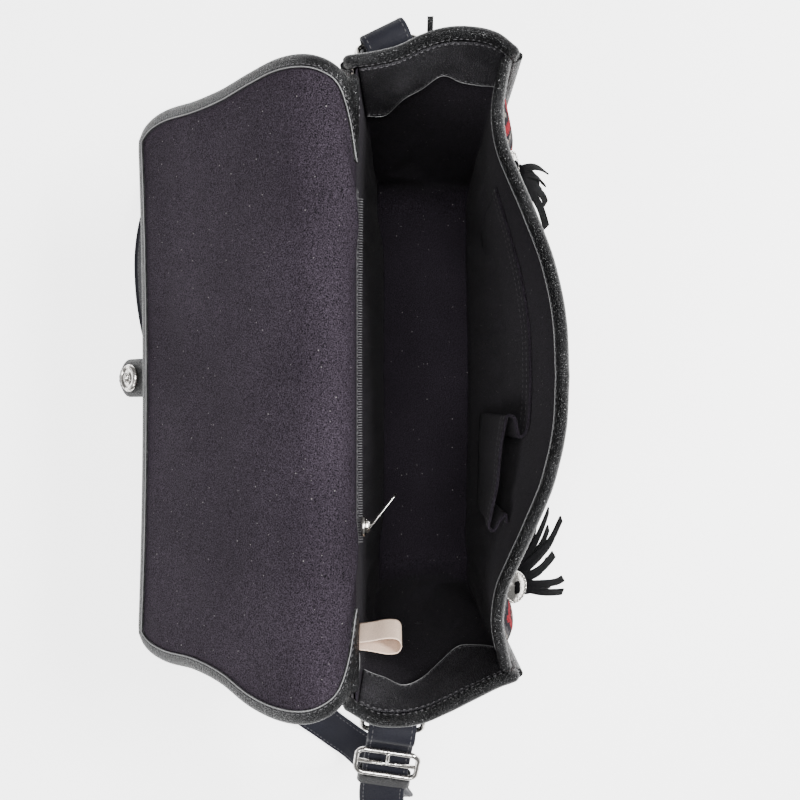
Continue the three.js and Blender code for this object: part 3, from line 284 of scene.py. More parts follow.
@dataclass(frozen=True)
class BodyShape:
    """The body's outer form. Every sewn piece takes its place from it, in millimetres."""

    height: float = 250.0
    base_half: float = 166.0
    rim_half: float = 186.0
    corner: float = 28.0
    front_seam: float = 38.0
    back_seam_base: float = 44.0
    back_seam_rim: float = 51.0
    rim_bow: float = 29.0
    base_bow: float = 5.0
    belly: float = 5.0
    hinge_drop: float = 10.0
    binding_width: float = 6.6
    binding_height: float = 8.0
    gap: float = 0.3

    @property
    def panel_top(self) -> float:
        """Top of the front wall, under its binding."""
        return self.height - self.binding_height - self.gap

    @property
    def back_top(self) -> float:
        """Top of the back wall, where the flap starts."""
        return self.panel_top - self.hinge_drop

    def rise(self, z: float) -> float:
        """Share of the way from the rounded corner to the rim."""
        return clamp((z - self.corner) / (self.panel_top - self.corner))

    def half_length(self, side: int, across: float, z: float) -> float:
        """Half length of the body above its rounded corner.

        Args:
            side: 1 or -1.
            across: Share across the gusset, from the back seam.
            z: Height.

        Returns:
            The distance from the middle.
        """
        rim = self.rim_half * GUSSET_RIM.at("left" if side < 0 else "right", across)
        return lerp(self.base_half, rim, self.rise(z) ** 1.3)

    def wall_x(self, side: int, across: float, z: float, inset: float) -> float:
        """Place of an end wall's face along the bag.

        Args:
            side: 1 or -1.
            across: Share across the gusset, from the back seam.
            z: Height.
            inset: Depth of the face under the outer one.

        Returns:
            Its x.
        """
        if z >= self.corner:
            return side * (self.half_length(side, across, z) - inset)
        radius = self.corner - inset
        below = min(self.corner - z, radius)
        return side * (self.base_half - self.corner + math.sqrt(radius * radius - below * below))

    def front_y(self, x: float, z: float, inset: float) -> float:
        """Place of the front wall's face at x and z, inset inwards."""
        side = -1 if x < 0 else 1
        along = clamp(abs(x) / self.half_length(side, 1.0, z))
        share = self.rise(z)
        rim = self.rim_bow * FRONT_RIM.at("bow", along) * share**1.5
        soft = (1 - along**2) * (self.base_bow * (1 - share) + self.belly * math.sin(math.pi * share))
        return -(self.front_seam + rim + soft) + inset

    def back_y(self, x: float, z: float, inset: float) -> float:
        """Place of the back wall's face at x and z, inset inwards."""
        side = -1 if x < 0 else 1
        along = clamp(abs(x) / self.half_length(side, 0.0, z))
        share = self.rise(z)
        soft = (1 - along**2) * self.belly * math.sin(math.pi * share)
        return lerp(self.back_seam_base, self.back_seam_rim, share) + soft - inset

    def wall_y(self, face: int, x: float, z: float, inset: float) -> float:
        """Place of the front or back wall's face."""
        return self.front_y(x, z, inset) if face < 0 else self.back_y(x, z, inset)

    def gusset_top(self, across: float) -> float:
        """Top of a gusset at a share across it."""
        return self.panel_top - self.hinge_drop * GUSSET_RIM.at("drop", across)

    def gusset_point(self, side: int, across: float, z: float, inset_x: float, inset_y: float) -> Point:
        """A point of a gusset's face, which is inset from the outer one and between the seams.

        Args:
            side: 1 or -1.
            across: Share across, from the back seam.
            z: Height.
            inset_x: Depth under the outer face.
            inset_y: How far the face's edges stop short of the seams.

        Returns:
            The point.
        """
        depth = self.front_seam + lerp(self.back_seam_base, self.back_seam_rim, self.rise(z))
        at = lerp(inset_y / depth, 1 - inset_y / depth, across)
        return Vector((self.wall_x(side, at, z, inset_x), depth - self.front_seam - depth * at, z))


SHAPE = BodyShape()


def grid_mesh(name: str, rows: list[list[Point]], wall: float = 0.0, loop: bool = False) -> bpy.types.Mesh:
    """Make a sheet from a grid of points, with a UV map in real lengths.

    Args:
        name: Name of the mesh.
        rows: Points as rows of columns, in millimetres.
        wall: Thickness behind the face, or 0 for a bare surface.
        loop: True where each row closes on itself.

    Returns:
        The mesh, in metres.
    """
    height = len(rows)
    width = len(rows[0])
    points = [p for row in rows for p in row]
    normals = grid_normals(rows, loop)
    lengths_u = running(rows[height // 2])
    middle = width // 2
    lengths_v = running([row[middle] for row in rows])
    spans = width if loop else width - 1
    faces = []
    uvs = []

    def corner_uv(r: int, c: int) -> tuple[float, float]:
        """UV of a corner."""
        u = lengths_u[c] if c < width else lengths_u[-1] + (
            rows[height // 2][0] - rows[height // 2][-1]
        ).length
        return (u / UV_MM, lengths_v[r] / UV_MM)

    for r in range(height - 1):
        for c in range(spans):
            n = (c + 1) % width
            faces.append((r * width + c, r * width + n, (r + 1) * width + n, (r + 1) * width + c))
            uvs.append([corner_uv(r, c), corner_uv(r, c + 1), corner_uv(r + 1, c + 1), corner_uv(r + 1, c)])
    if wall:
        total = len(points)
        points = points + [p - n * wall for p, n in zip(points, normals)]
        for f, uv in list(zip(faces, uvs)):
            faces.append(tuple(i + total for i in reversed(f)))
            uvs.append(list(reversed(uv)))
        edges = []
        for c in range(spans):
            n = (c + 1) % width
            top = (height - 1) * width
            edges.append(((c, 0), (c + 1, 0), (n, c)))
            edges.append(((c + 1, height - 1), (c, height - 1), (top + c, top + n)))
        for (ca, ra), (cb, rb), (a, b) in edges:
            faces.append((a, b, b + total, a + total))
            ua, ub = corner_uv(ra, ca), corner_uv(rb, cb)
            uvs.append([ub, ua, ua, ub] if ra == 0 else [ua, ub, ub, ua])
        if not loop:
            for r in range(height - 1):
                a, b = r * width, (r + 1) * width
                faces.append((a, b, b + total, a + total))
                uvs.append([corner_uv(r, 0), corner_uv(r + 1, 0), corner_uv(r + 1, 0), corner_uv(r, 0)])
                a, b = (r + 1) * width + width - 1, r * width + width - 1
                faces.append((a, b, b + total, a + total))
                last = width - 1
                uvs.append(
                    [corner_uv(r + 1, last), corner_uv(r, last), corner_uv(r, last), corner_uv(r + 1, last)]
                )
    return finish_mesh(name, points, faces, uvs)


def running(points: Sequence[Point]) -> list[float]:
    """Running length along points."""
    total = 0.0
    lengths = [0.0]
    for a, b in zip(points, points[1:]):
        total += (b - a).length
        lengths.append(total)
    return lengths


def grid_normals(rows: list[list[Point]], loop: bool) -> list[Point]:
    """Normals of a grid, as the way along its rows crossed with the way along its columns."""
    height = len(rows)
    width = len(rows[0])
    normals = []
    for r in range(height):
        for c in range(width):
            left = (c - 1) % width if loop else max(c - 1, 0)
            right = (c + 1) % width if loop else min(c + 1, width - 1)
            along = rows[r][right] - rows[r][left]
            down = rows[min(r + 1, height - 1)][c] - rows[max(r - 1, 0)][c]
            normals.append(along.cross(down).normalized())
    return normals


def finish_mesh(
    name: str, points: Iterable[Point], faces: Iterable[Sequence[int]], uvs: list | None = None
) -> bpy.types.Mesh:
    """Make a smooth mesh in metres.

    Args:
        name: Name of the mesh.
        points: Vertices in millimetres.
        faces: Vertex numbers of each face.
        uvs: UV corners of each face, if any.

    Returns:
        The mesh.
    """
    mesh = bpy.data.meshes.new(name)
    mesh.from_pydata([tuple(p * MM) for p in points], [], [tuple(f) for f in faces])
    if uvs:
        layer = mesh.uv_layers.new(name="UVMap")
        flat = [value for face in uvs for corner in face for value in corner]
        layer.data.foreach_set("uv", flat)
    mesh.shade_smooth()
    mesh.update()
    return mesh


@dataclass
class Station:
    """A place along a sweep: its middle, the way across it and the way up from it."""

    at: Point
    across: Point
    up: Point


def sweep_mesh(
    name: str, stations: Sequence[Station], section: Section, closed: bool = False
) -> bpy.types.Mesh:
    """Sweep a section along stations.

    Args:
        name: Name of the mesh.
        stations: Places along the way.
        section: Corners as (across, up), in order round the section.
        closed: True where the last station joins the first.

    Returns:
        The mesh, with u along the sweep and v round the section.
    """
    count = len(section)
    points = [s.at + s.across * a + s.up * u for s in stations for a, u in section]
    lengths = running([s.at for s in stations])
    if closed:
        lengths.append(lengths[-1] + (stations[0].at - stations[-1].at).length)
    spans = len(stations) if closed else len(stations) - 1
    faces = []
    uvs = []
    for s in range(spans):
        ahead = ((s + 1) % len(stations)) * count
        for c in range(count):
            n = (c + 1) % count
            faces.append((s * count + c, s * count + n, ahead + n, ahead + c))
            low, high = c / count, (c + 1) / count
            start, end = lengths[s] / UV_MM, lengths[s + 1] / UV_MM
            uvs.append([(start, low), (start, high), (end, high), (end, low)])
    if not closed:
        last = (len(stations) - 1) * count
        faces.append(tuple(reversed(range(count))))
        uvs.append([(0.0, c / count) for c in reversed(range(count))])
        faces.append(tuple(last + c for c in range(count)))
        uvs.append([(lengths[-1] / UV_MM, c / count) for c in range(count)])
    mesh = finish_mesh(name, points, faces, uvs)
    outward(mesh)
    return mesh


def outward(mesh: bpy.types.Mesh) -> None:
    """Turn a closed mesh's faces outwards."""
    made = bmesh.new()
    made.from_mesh(mesh)
    bmesh.ops.recalc_face_normals(made, faces=made.faces)
    made.to_mesh(mesh)
    made.free()


def lathe_mesh(name: str, profile: Section, at: Point, axis: Point, segments: int = 64) -> bpy.types.Mesh:
    """Turn a profile round an axis.

    Args:
        name: Name of the mesh.
        profile: (radius, height) from foot to crown, whose ends lie on the axis.
        at: Foot of the axis.
        axis: Its way.
        segments: Facets round it.

    Returns:
        The closed mesh.
    """
    lean = Vector((0, 0, 1)).rotation_difference(axis.normalized())
    points = []
    rings = []
    for radius, height in profile:
        if radius < 1e-6:
            rings.append([len(points)])
            points.append(at + lean @ Vector((0, 0, height)))
            continue
        ring = []
        for i in range(segments):
            turn = 2 * math.pi * i / segments
            ring.append(len(points))
            points.append(at + lean @ Vector((radius * math.cos(turn), radius * math.sin(turn), height)))
        rings.append(ring)
    faces = []
    for low, high in zip(rings, rings[1:]):
        for i in range(segments):
            n = (i + 1) % segments
            if len(low) == 1:
                faces.append((low[0], high[n], high[i]))
            elif len(high) == 1:
                faces.append((low[i], low[n], high[0]))
            else:
                faces.append((low[i], low[n], high[n], high[i]))
    mesh = finish_mesh(name, points, faces)
    outward(mesh)
    return mesh


def rounded_bar(
    width: float, height: float, foot: float = 0.0, soft: float = 0.35
) -> list[tuple[float, float]]:
    """Section of a rolled edge: straight at its foot and round at its crown.

    Args:
        width: Across.
        height: From foot to crown.
        foot: Height of its foot over the seam.
        soft: Share of the height that is straight.

    Returns:
        The section's corners.
    """
    half = width / 2
    straight = height * soft
    arc = []
    for s in shares(10):
        turn = math.pi * s
        arc.append((half * math.cos(turn), foot + straight + (height - straight) * math.sin(turn)))
    return [(half * 0.86, foot), (half, foot + 0.7), *arc, (-half, foot + 0.7), (-half * 0.86, foot)]


def strip_section(width: float, thick: float, soft: float = 0.35) -> list[tuple[float, float]]:
    """Section of a flat strip with softened edges."""
    w, t = width / 2, thick / 2
    r = min(w, t) * 2 * soft
    return [
        (-w + r, -t),
        (w - r, -t),
        (w - r * 0.3, -t + r * 0.3),
        (w, -t + r),
        (w, t - r),
        (w - r * 0.3, t - r * 0.3),
        (w - r, t),
        (-w + r, t),
        (-w + r * 0.3, t - r * 0.3),
        (-w, t - r),
        (-w, -t + r),
        (-w + r * 0.3, -t + r * 0.3),
    ]


def round_section(wire: float, count: int = 14) -> list[tuple[float, float]]:
    """Section of a wire."""
    radius = wire / 2
    return [
        (
            radius * math.cos(2 * math.pi * i / count), radius * math.sin(2 * math.pi * i / count)
        ) for i in range(count)
    ]


def strip_stations(spots: Sequence[Point], widths: Sequence[Point]) -> list[Station]:
    """Stations of a strip, from its middle line and the way of its width at each place."""
    stations = []
    for i, at in enumerate(spots):
        along = (spots[min(i + 1, len(spots) - 1)] - spots[max(i - 1, 0)]).normalized()
        width = (widths[i] - along * widths[i].dot(along)).normalized()
        stations.append(Station(at, width, along.cross(width)))
    return stations


@dataclass
class Nodes:
    """Adds nodes to one tree and links them, for short and readable materials."""

    tree: bpy.types.NodeTree

    def add(self, kind: str, inputs: dict | None = None, **settings: object) -> bpy.types.Node:
        """Add a node.

        Args:
            kind: The node's type.
            inputs: Values or sockets for its inputs, by name or number.
            **settings: The node's own properties.

        Returns:
            The node.
        """
        node = self.tree.nodes.new(kind)
        for key, value in settings.items():
            setattr(node, key, value)
        for key, value in (inputs or {}).items():
            if isinstance(value, bpy.types.NodeSocket):
                self.tree.links.new(value, node.inputs[key])
            else:
                node.inputs[key].default_value = value
        return node

    def math(self, operation: str, a: object, b: object = 0.0, c: object = 0.0) -> bpy.types.NodeSocket:
        """Result of a Math node on a, b and c."""
        return self.add("ShaderNodeMath", {0: a, 1: b, 2: c}, operation=operation).outputs[0]

    def mix(self, share: object, a: object, b: object) -> bpy.types.NodeSocket:
        """Colour a blended towards b by share."""
        node = self.add("ShaderNodeMix", data_type="RGBA")
        for index, value in ((0, share), (6, a), (7, b)):
            if isinstance(value, bpy.types.NodeSocket):
                self.tree.links.new(value, node.inputs[index])
            else:
                node.inputs[index].default_value = value if index == 0 else (*value, 1.0)
        return node.outputs[2]

    def ramp(
        self, value: object, stops: Sequence[tuple[float, tuple]], steps: bool = False
    ) -> bpy.types.NodeSocket:
        """Colour of a ramp at value, in even steps or blended between its stops."""
        node = self.add("ShaderNodeValToRGB", {0: value})
        node.color_ramp.interpolation = "CONSTANT" if steps else "LINEAR"
        while len(node.color_ramp.elements) < len(stops):
            node.color_ramp.elements.new(1.0)
        for element, (place, colour) in zip(node.color_ramp.elements, stops):
            element.position = place
            element.color = (*colour, 1.0)
        return node.outputs[0]


def shader_group(
    name: str, inputs: dict[str, tuple[str, object]], outputs: dict[str, str]
) -> tuple[bpy.types.NodeTree, Nodes, bpy.types.Node, bpy.types.Node]:
    """Start a shader node group.

    Args:
        name: Name of the group.
        inputs: Kind of socket and value by input name.
        outputs: Kind of socket by output name.

    Returns:
        The group, its node maker, and its input and output nodes.
    """
    group = bpy.data.node_groups.new(name, "ShaderNodeTree")
    for label, (kind, value) in inputs.items():
        socket = group.interface.new_socket(label, in_out="INPUT", socket_type=kind)
        if value is not None:
            socket.default_value = value
    for label, kind in outputs.items():
        group.interface.new_socket(label, in_out="OUTPUT", socket_type=kind)
    nodes = Nodes(group)
    return group, nodes, nodes.add("NodeGroupInput"), nodes.add("NodeGroupOutput")


FLOAT = "NodeSocketFloat"
VECTOR = "NodeSocketVector"
COLOUR = "NodeSocketColor"


def build_grain_group() -> bpy.types.NodeTree:
    """Pebbled leather grain: Height and Crease, from a place in metres and a pebble in millimetres."""
    group, n, source, out = shader_group(
        "leather_grain",
        {"Vector": (VECTOR, None), "Pebble": (FLOAT, 1.2), "Unevenness": (FLOAT, 0.3)},
        {"Height": FLOAT, "Crease": FLOAT},
    )
    scale = n.math("DIVIDE", 1000.0, source.outputs["Pebble"])
    warp = n.add("ShaderNodeTexNoise", {"Vector": source.outputs["Vector"], "Scale": 180.0, "Detail": 2.0})
    pull = n.add(
        "ShaderNodeVectorMath", {0: warp.outputs["Color"], 1: (0.0012, 0.0012, 0.0012)}, operation="MULTIPLY"
    )
    place = n.add("ShaderNodeVectorMath", {0: source.outputs["Vector"], 1: pull.outputs[0]}, operation="ADD")
    cells = n.add(
        "ShaderNodeTexVoronoi", {"Vector": place.outputs[0], "Scale": scale}, feature="DISTANCE_TO_EDGE"
    )
    pebble = n.add("ShaderNodeMapRange", {0: cells.outputs["Distance"], 1: 0.0, 2: 0.28, 3: 0.0, 4: 1.0})
    pebble.interpolation_type = "SMOOTHSTEP"
    broad = n.add("ShaderNodeTexNoise", {"Vector": source.outputs["Vector"], "Scale": 60.0, "Detail": 3.0})
    uneven = n.math("MULTIPLY", broad.outputs["Fac"], source.outputs["Unevenness"])
    height = n.math("ADD", pebble.outputs[0], uneven)
    n.tree.links.new(height, out.inputs["Height"])
    n.tree.links.new(n.math("SUBTRACT", 1.0, pebble.outputs[0]), out.inputs["Crease"])
    return group


def build_twill_group() -> bpy.types.NodeTree:
    """Twill weave: Height and Thread tone, from a UV place and a thread pitch in millimetres."""
    group, n, source, out = shader_group(
        "twill_weave",
        {"Vector": (VECTOR, None), "Pitch": (FLOAT, 0.9), "Slant": (FLOAT, 1.0)},
        {"Height": FLOAT, "Tone": FLOAT},
    )
    parts = n.add("ShaderNodeSeparateXYZ", {0: source.outputs["Vector"]})
    per = n.math("DIVIDE", UV_MM * 2 * math.pi, source.outputs["Pitch"])
    across = n.math("MULTIPLY", parts.outputs[0], per)
    down = n.math("MULTIPLY", parts.outputs[1], per)
    slanted = n.math("ADD", across, n.math("MULTIPLY", down, source.outputs["Slant"]))
    rib = n.math("MULTIPLY_ADD", n.math("SINE", slanted), 0.5, 0.5)
    yarn = n.math("MULTIPLY_ADD", n.math("SINE", n.math("MULTIPLY", down, 2.0)), 0.5, 0.5)
    slub = n.add("ShaderNodeTexNoise", {"Vector": source.outputs["Vector"], "Scale": 45.0, "Detail": 4.0})
    height = n.math("MULTIPLY_ADD", yarn, 0.45, rib)
    n.tree.links.new(height, out.inputs["Height"])
    tone = n.math("MULTIPLY_ADD", n.math("MULTIPLY", height, slub.outputs["Fac"]), 0.6, 0.45)
    n.tree.links.new(tone, out.inputs["Tone"])
    return group


def build_lint_group() -> bpy.types.NodeTree:
    """Specks and short fibres of lint: a Mask from a place in metres."""
    group, n, source, out = shader_group(
        "lint",
        {"Vector": (VECTOR, None), "Spacing": (FLOAT, 9.0), "Size": (FLOAT, 0.05), "Share": (FLOAT, 0.5)},
        {"Mask": FLOAT},
    )
    scale = n.math("DIVIDE", 1000.0, source.outputs["Spacing"])
    cells = n.add("ShaderNodeTexVoronoi", {"Vector": source.outputs["Vector"], "Scale": scale}, feature="F1")
    parts = n.add("ShaderNodeSeparateColor", {0: cells.outputs["Color"]})
    size = n.math("MULTIPLY", source.outputs["Size"], n.math("ADD", parts.outputs[1], 0.4))
    speck = n.math("LESS_THAN", cells.outputs["Distance"], size)
    chosen = n.math("LESS_THAN", parts.outputs[0], source.outputs["Share"])
    n.tree.links.new(n.math("MULTIPLY", speck, chosen), out.inputs["Mask"])
    return group


def build_blanket_group() -> bpy.types.NodeTree:
    """Charted blanket pattern of stepped diamonds and zigzag bands: Colour and Motif from a UV place."""
    group, n, source, out = shader_group(
        "blanket_pattern",
        {"Vector": (VECTOR, None), "Cell": (FLOAT, 1.5)},
        {"Colour": COLOUR, "Motif": FLOAT},
    )
    red, black, grey, pale = (0.24, 0.006, 0.014), (0.008, 0.007, 0.01), (
        0.055, 0.052, 0.055
    ), (0.26, 0.235, 0.21)
    parts = n.add("ShaderNodeSeparateXYZ", {0: source.outputs["Vector"]})
    per = n.math("DIVIDE", UV_MM, source.outputs["Cell"])
    across = n.math("FLOOR", n.math("MULTIPLY", parts.outputs[0], per))
    up = n.math("FLOOR", n.math("MULTIPLY", parts.outputs[1], per))
    steps_across = n.math("FLOOR", n.math("DIVIDE", n.math("PINGPONG", across, 32.0), 2.0))
    steps_up = n.math("FLOOR", n.math("DIVIDE", n.math("PINGPONG", up, 36.0), 2.0))
    diamond = n.math("DIVIDE", n.math("ADD", steps_across, steps_up), 34.0)
    diamonds = n.ramp(
        diamond,
        [
            (0.0, pale),
            (0.06, black),
            (0.15, red),
            (0.27, black),
            (0.33, pale),
            (0.36, grey),
            (0.45, black),
            (0.54, red),
            (0.66, black),
            (0.72, pale),
            (0.75, red),
            (0.86, black),
        ],
        steps=True,
    )
    zigzag = n.math("MODULO", n.math("ADD", n.math("PINGPONG", across, 8.0), n.math("ADD", up, 800.0)), 16.0)
    bands = n.ramp(
        n.math("DIVIDE", zigzag, 16.0),
        [(0.0, black), (0.24, red), (0.49, black), (0.61, pale), (0.68, grey), (0.8, black)],
        steps=True,
    )
    row = n.math("MODULO", n.math("ADD", up, 1008.0), 72.0)
    in_band = n.math("MULTIPLY", n.math("GREATER_THAN", row, 27.5), n.math("LESS_THAN", row, 43.5))
    edge = n.math("ADD", n.math("COMPARE", row, 27.0, 0.6), n.math("COMPARE", row, 44.0, 0.6))
    pattern = n.mix(in_band, diamonds, bands)
    pattern = n.mix(n.math("MINIMUM", edge, 1.0), pattern, grey)
    n.tree.links.new(pattern, out.inputs["Colour"])
    n.tree.links.new(diamond, out.inputs["Motif"])
    return group


@dataclass(frozen=True)
class Groups:
    """The shader node groups that the finishes share."""

    grain: bpy.types.NodeTree
    twill: bpy.types.NodeTree
    lint: bpy.types.NodeTree
    blanket: bpy.types.NodeTree

    @staticmethod
    def build() -> "Groups":
        """Make all groups once."""
        return Groups(build_grain_group(), build_twill_group(), build_lint_group(), build_blanket_group())


def start_material(name: str) -> tuple[bpy.types.Material, Nodes, bpy.types.Node]:
    """Start a material with one plain shader: the material, its node maker and the shader."""
    material = bpy.data.materials.new(name)
    material.use_nodes = True
    tree = material.node_tree
    tree.nodes.clear()
    nodes = Nodes(tree)
    shader = nodes.add("ShaderNodeBsdfPrincipled")
    end = nodes.add("ShaderNodeOutputMaterial")
    tree.links.new(shader.outputs[0], end.inputs[0])
    return material, nodes, shader


def use_group(nodes: Nodes, group: bpy.types.NodeTree, inputs: dict[str, object]) -> bpy.types.Node:
    """Place a shader group in a material with its own values."""
    node = nodes.tree.nodes.new("ShaderNodeGroup")
    node.node_tree = group
    for key, value in inputs.items():
        if isinstance(value, bpy.types.NodeSocket):
            nodes.tree.links.new(value, node.inputs[key])
        else:
            node.inputs[key].default_value = value
    return node


@dataclass(frozen=True)
class LeatherFinish:
    """Black leather with a pebbled grain and paler worn tops."""

    name: str
    colour: tuple[float, float, float] = (0.003, 0.003, 0.0035)
    worn: tuple[float, float, float] = (0.045, 0.045, 0.048)
    pebble: float = 1.15
    roughness: float = 0.3
    relief: float = 1.7
    shine: float = 0.36
    gathers: float = 0.0

    def build(self, groups: Groups) -> bpy.types.Material:
        """Make the material."""
        material, n, shader = start_material(self.name)
        coords = n.add("ShaderNodeTexCoord")
        place = coords.outputs["Object"]
        grain = use_group(n, groups.grain, {"Vector": place, "Pebble": self.pebble})
        patches = n.add("ShaderNodeTexNoise", {"Vector": place, "Scale": 38.0, "Detail": 4.0})
        wear = n.add("ShaderNodeMapRange", {0: patches.outputs["Fac"], 1: 0.45, 2: 0.75, 3: 0.0, 4: 0.55})
        tops = n.math("MULTIPLY", grain.outputs["Height"], wear.outputs[0])
        base = n.mix(tops, self.colour, self.worn)
        n.tree.links.new(base, shader.inputs["Base Color"])
        dull = n.math("MULTIPLY_ADD", grain.outputs["Crease"], 0.22, self.roughness)
        n.tree.links.new(
            n.math("MULTIPLY_ADD", patches.outputs["Fac"], 0.16, n.math("SUBTRACT", dull, 0.08)),
            shader.inputs["Roughness"],
        )
        shader.inputs["Specular IOR Level"].default_value = self.shine
        bump = n.add(
            "ShaderNodeBump", {"Height": grain.outputs["Height"], "Strength": self.relief, "Distance": 0.0004}
        )
        if self.gathers:
            sway = n.add("ShaderNodeTexNoise", {"Vector": place, "Scale": 70.0, "Detail": 2.0})
            run = n.add("ShaderNodeSeparateXYZ", {0: coords.outputs["UV"]}).outputs[0]
            turns = n.math(
                "MULTIPLY_ADD",
                sway.outputs["Fac"],
                14.0,
                n.math("MULTIPLY", run, UV_MM * 2 * math.pi / self.gathers),
            )
            ribs = n.math(
                "MULTIPLY", n.math("SINE", turns), n.math("MULTIPLY_ADD", sway.outputs["Fac"], 1.4, -0.3)
            )
            folds = n.add("ShaderNodeBump", {"Height": ribs, "Strength": 0.5, "Distance": 0.0005})
            n.tree.links.new(folds.outputs[0], bump.inputs["Normal"])
        n.tree.links.new(bump.outputs[0], shader.inputs["Normal"])
        return material


@dataclass(frozen=True)
class TwillFinish:
    """Plain dyed cloth with a fine slanting weave and some lint."""

    name: str
    colour: tuple[float, float, float] = (0.056, 0.0445, 0.06)
    dark: tuple[float, float, float] = (0.0005, 0.0004, 0.0006)
    fluff: tuple[float, float, float] = (0.2, 0.19, 0.19)
    pitch: float = 0.85
    lint: float = 0.6
    sheen: float = 0.0

    def build(self, groups: Groups) -> bpy.types.Material:
        """Make the material."""
        material, n, shader = start_material(self.name)
        coords = n.add("ShaderNodeTexCoord")
        twill = use_group(n, groups.twill, {"Vector": coords.outputs["UV"], "Pitch": self.pitch})
        lint = use_group(
            n,
            groups.lint,
            {"Vector": coords.outputs["Object"], "Spacing": 4.2, "Size": 0.07, "Share": self.lint},
        )
        grit = n.add(
            "ShaderNodeTexNoise", {"Vector": coords.outputs["Object"], "Scale": 1500.0, "Detail": 2.0}
        )
        shade = n.add(
            "ShaderNodeTexNoise", {"Vector": coords.outputs["Object"], "Scale": 16.0, "Detail": 3.0}
        )
        tone = n.math(
            "MULTIPLY", twill.outputs["Tone"], n.math("MULTIPLY_ADD", shade.outputs["Fac"], 0.8, 0.6)
        )
        tone = n.math("MULTIPLY", tone, n.math("MULTIPLY_ADD", grit.outputs["Fac"], 2.6, -0.8))
        base = n.mix(tone, self.dark, self.colour)
        base = n.mix(n.math("MULTIPLY", lint.outputs["Mask"], 0.75), base, self.fluff)
        n.tree.links.new(base, shader.inputs["Base Color"])
        shader.inputs["Roughness"].default_value = 0.85
        shader.inputs["Specular IOR Level"].default_value = 0.05
        shader.inputs["Sheen Weight"].default_value = self.sheen
        shader.inputs["Sheen Roughness"].default_value = 0.5
        bump = n.add(
            "ShaderNodeBump", {"Height": twill.outputs["Height"], "Strength": 0.5, "Distance": 0.0002}
        )
        n.tree.links.new(bump.outputs[0], shader.inputs["Normal"])
        return material


@dataclass(frozen=True)
class JacquardFinish:
    """Woven blanket cloth: a charted pattern under coarse ribs of yarn."""

    name: str
    cell: float = 0.8

    def build(self, groups: Groups) -> bpy.types.Material:
        """Make the material."""
        material, n, shader = start_material(self.name)
        coords = n.add("ShaderNodeTexCoord")
        pattern = use_group(n, groups.blanket, {"Vector": coords.outputs["UV"], "Cell": self.cell})
        weave = use_group(n, groups.twill, {"Vector": coords.outputs["UV"], "Pitch": self.cell, "Slant": 0.0})
        fleck = n.add(
            "ShaderNodeTexNoise", {"Vector": coords.outputs["Object"], "Scale": 900.0, "Detail": 2.0}
        )
        tone = n.math(
            "MULTIPLY", weave.outputs["Tone"], n.math("MULTIPLY_ADD", fleck.outputs["Fac"], 1.7, 0.05)
        )
        base = n.mix(n.math("MINIMUM", tone, 1.0), (0.01, 0.008, 0.009), pattern.outputs["Colour"])
        n.tree.links.new(base, shader.inputs["Base Color"])
        shader.inputs["Roughness"].default_value = 0.9
        shader.inputs["Specular IOR Level"].default_value = 0.06
        bump = n.add(
            "ShaderNodeBump", {"Height": weave.outputs["Height"], "Strength": 0.6, "Distance": 0.0003}
        )
        n.tree.links.new(bump.outputs[0], shader.inputs["Normal"])
        return material


@dataclass(frozen=True)
class MetalFinish:
    """Polished silver-coloured metal with fine scratches and dark tarnish in patches."""

    name: str
    colour: tuple[float, float, float] = (0.6, 0.58, 0.55)
    tarnish: tuple[float, float, float] = (0.09, 0.085, 0.08)
    roughness: float = 0.14

    def build(self, groups: Groups) -> bpy.types.Material:
        """Make the material."""
        material, n, shader = start_material(self.name)
        place = n.add("ShaderNodeTexCoord").outputs["Object"]
        patches = n.add("ShaderNodeTexNoise", {"Vector": place, "Scale": 420.0, "Detail": 5.0})
        dim = n.add("ShaderNodeMapRange", {0: patches.outputs["Fac"], 1: 0.48, 2: 0.64, 3: 0.0, 4: 0.85})
        n.tree.links.new(n.mix(dim.outputs[0], self.colour, self.tarnish), shader.inputs["Base Color"])
        n.tree.links.new(
            n.math("MULTIPLY_ADD", dim.outputs[0], 0.3, self.roughness), shader.inputs["Roughness"]
        )
        shader.inputs["Metallic"].default_value = 1.0
        fine = n.add("ShaderNodeTexNoise", {"Vector": place, "Scale": 1500.0, "Detail": 2.0})
        bump = n.add("ShaderNodeBump", {"Height": fine.outputs["Fac"], "Strength": 0.12, "Distance": 0.0001})
        n.tree.links.new(bump.outputs[0], shader.inputs["Normal"])
        return material


@dataclass(frozen=True)
class ThreadFinish:
    """Twisted thread, moulded coil or paper-fine yarn in one colour."""

    name: str
    colour: tuple[float, float, float] = (0.026, 0.025, 0.027)
    roughness: float = 0.5
    twist: float = 0.7

    def build(self, groups: Groups) -> bpy.types.Material:
        """Make the material."""
        material, n, shader = start_material(self.name)
        place = n.add("ShaderNodeTexCoord").outputs["Object"]
        strands = n.add("ShaderNodeTexNoise", {"Vector": place, "Scale": 1400.0, "Detail": 3.0})
        pale = tuple(min(1.0, c * 2.2) for c in self.colour)
        n.tree.links.new(n.mix(strands.outputs["Fac"], self.colour, pale), shader.inputs["Base Color"])
        shader.inputs["Roughness"].default_value = self.roughness
        bump = n.add(
            "ShaderNodeBump", {"Height": strands.outputs["Fac"], "Strength": self.twist, "Distance": 0.0002}
        )
        n.tree.links.new(bump.outputs[0], shader.inputs["Normal"])
        return material


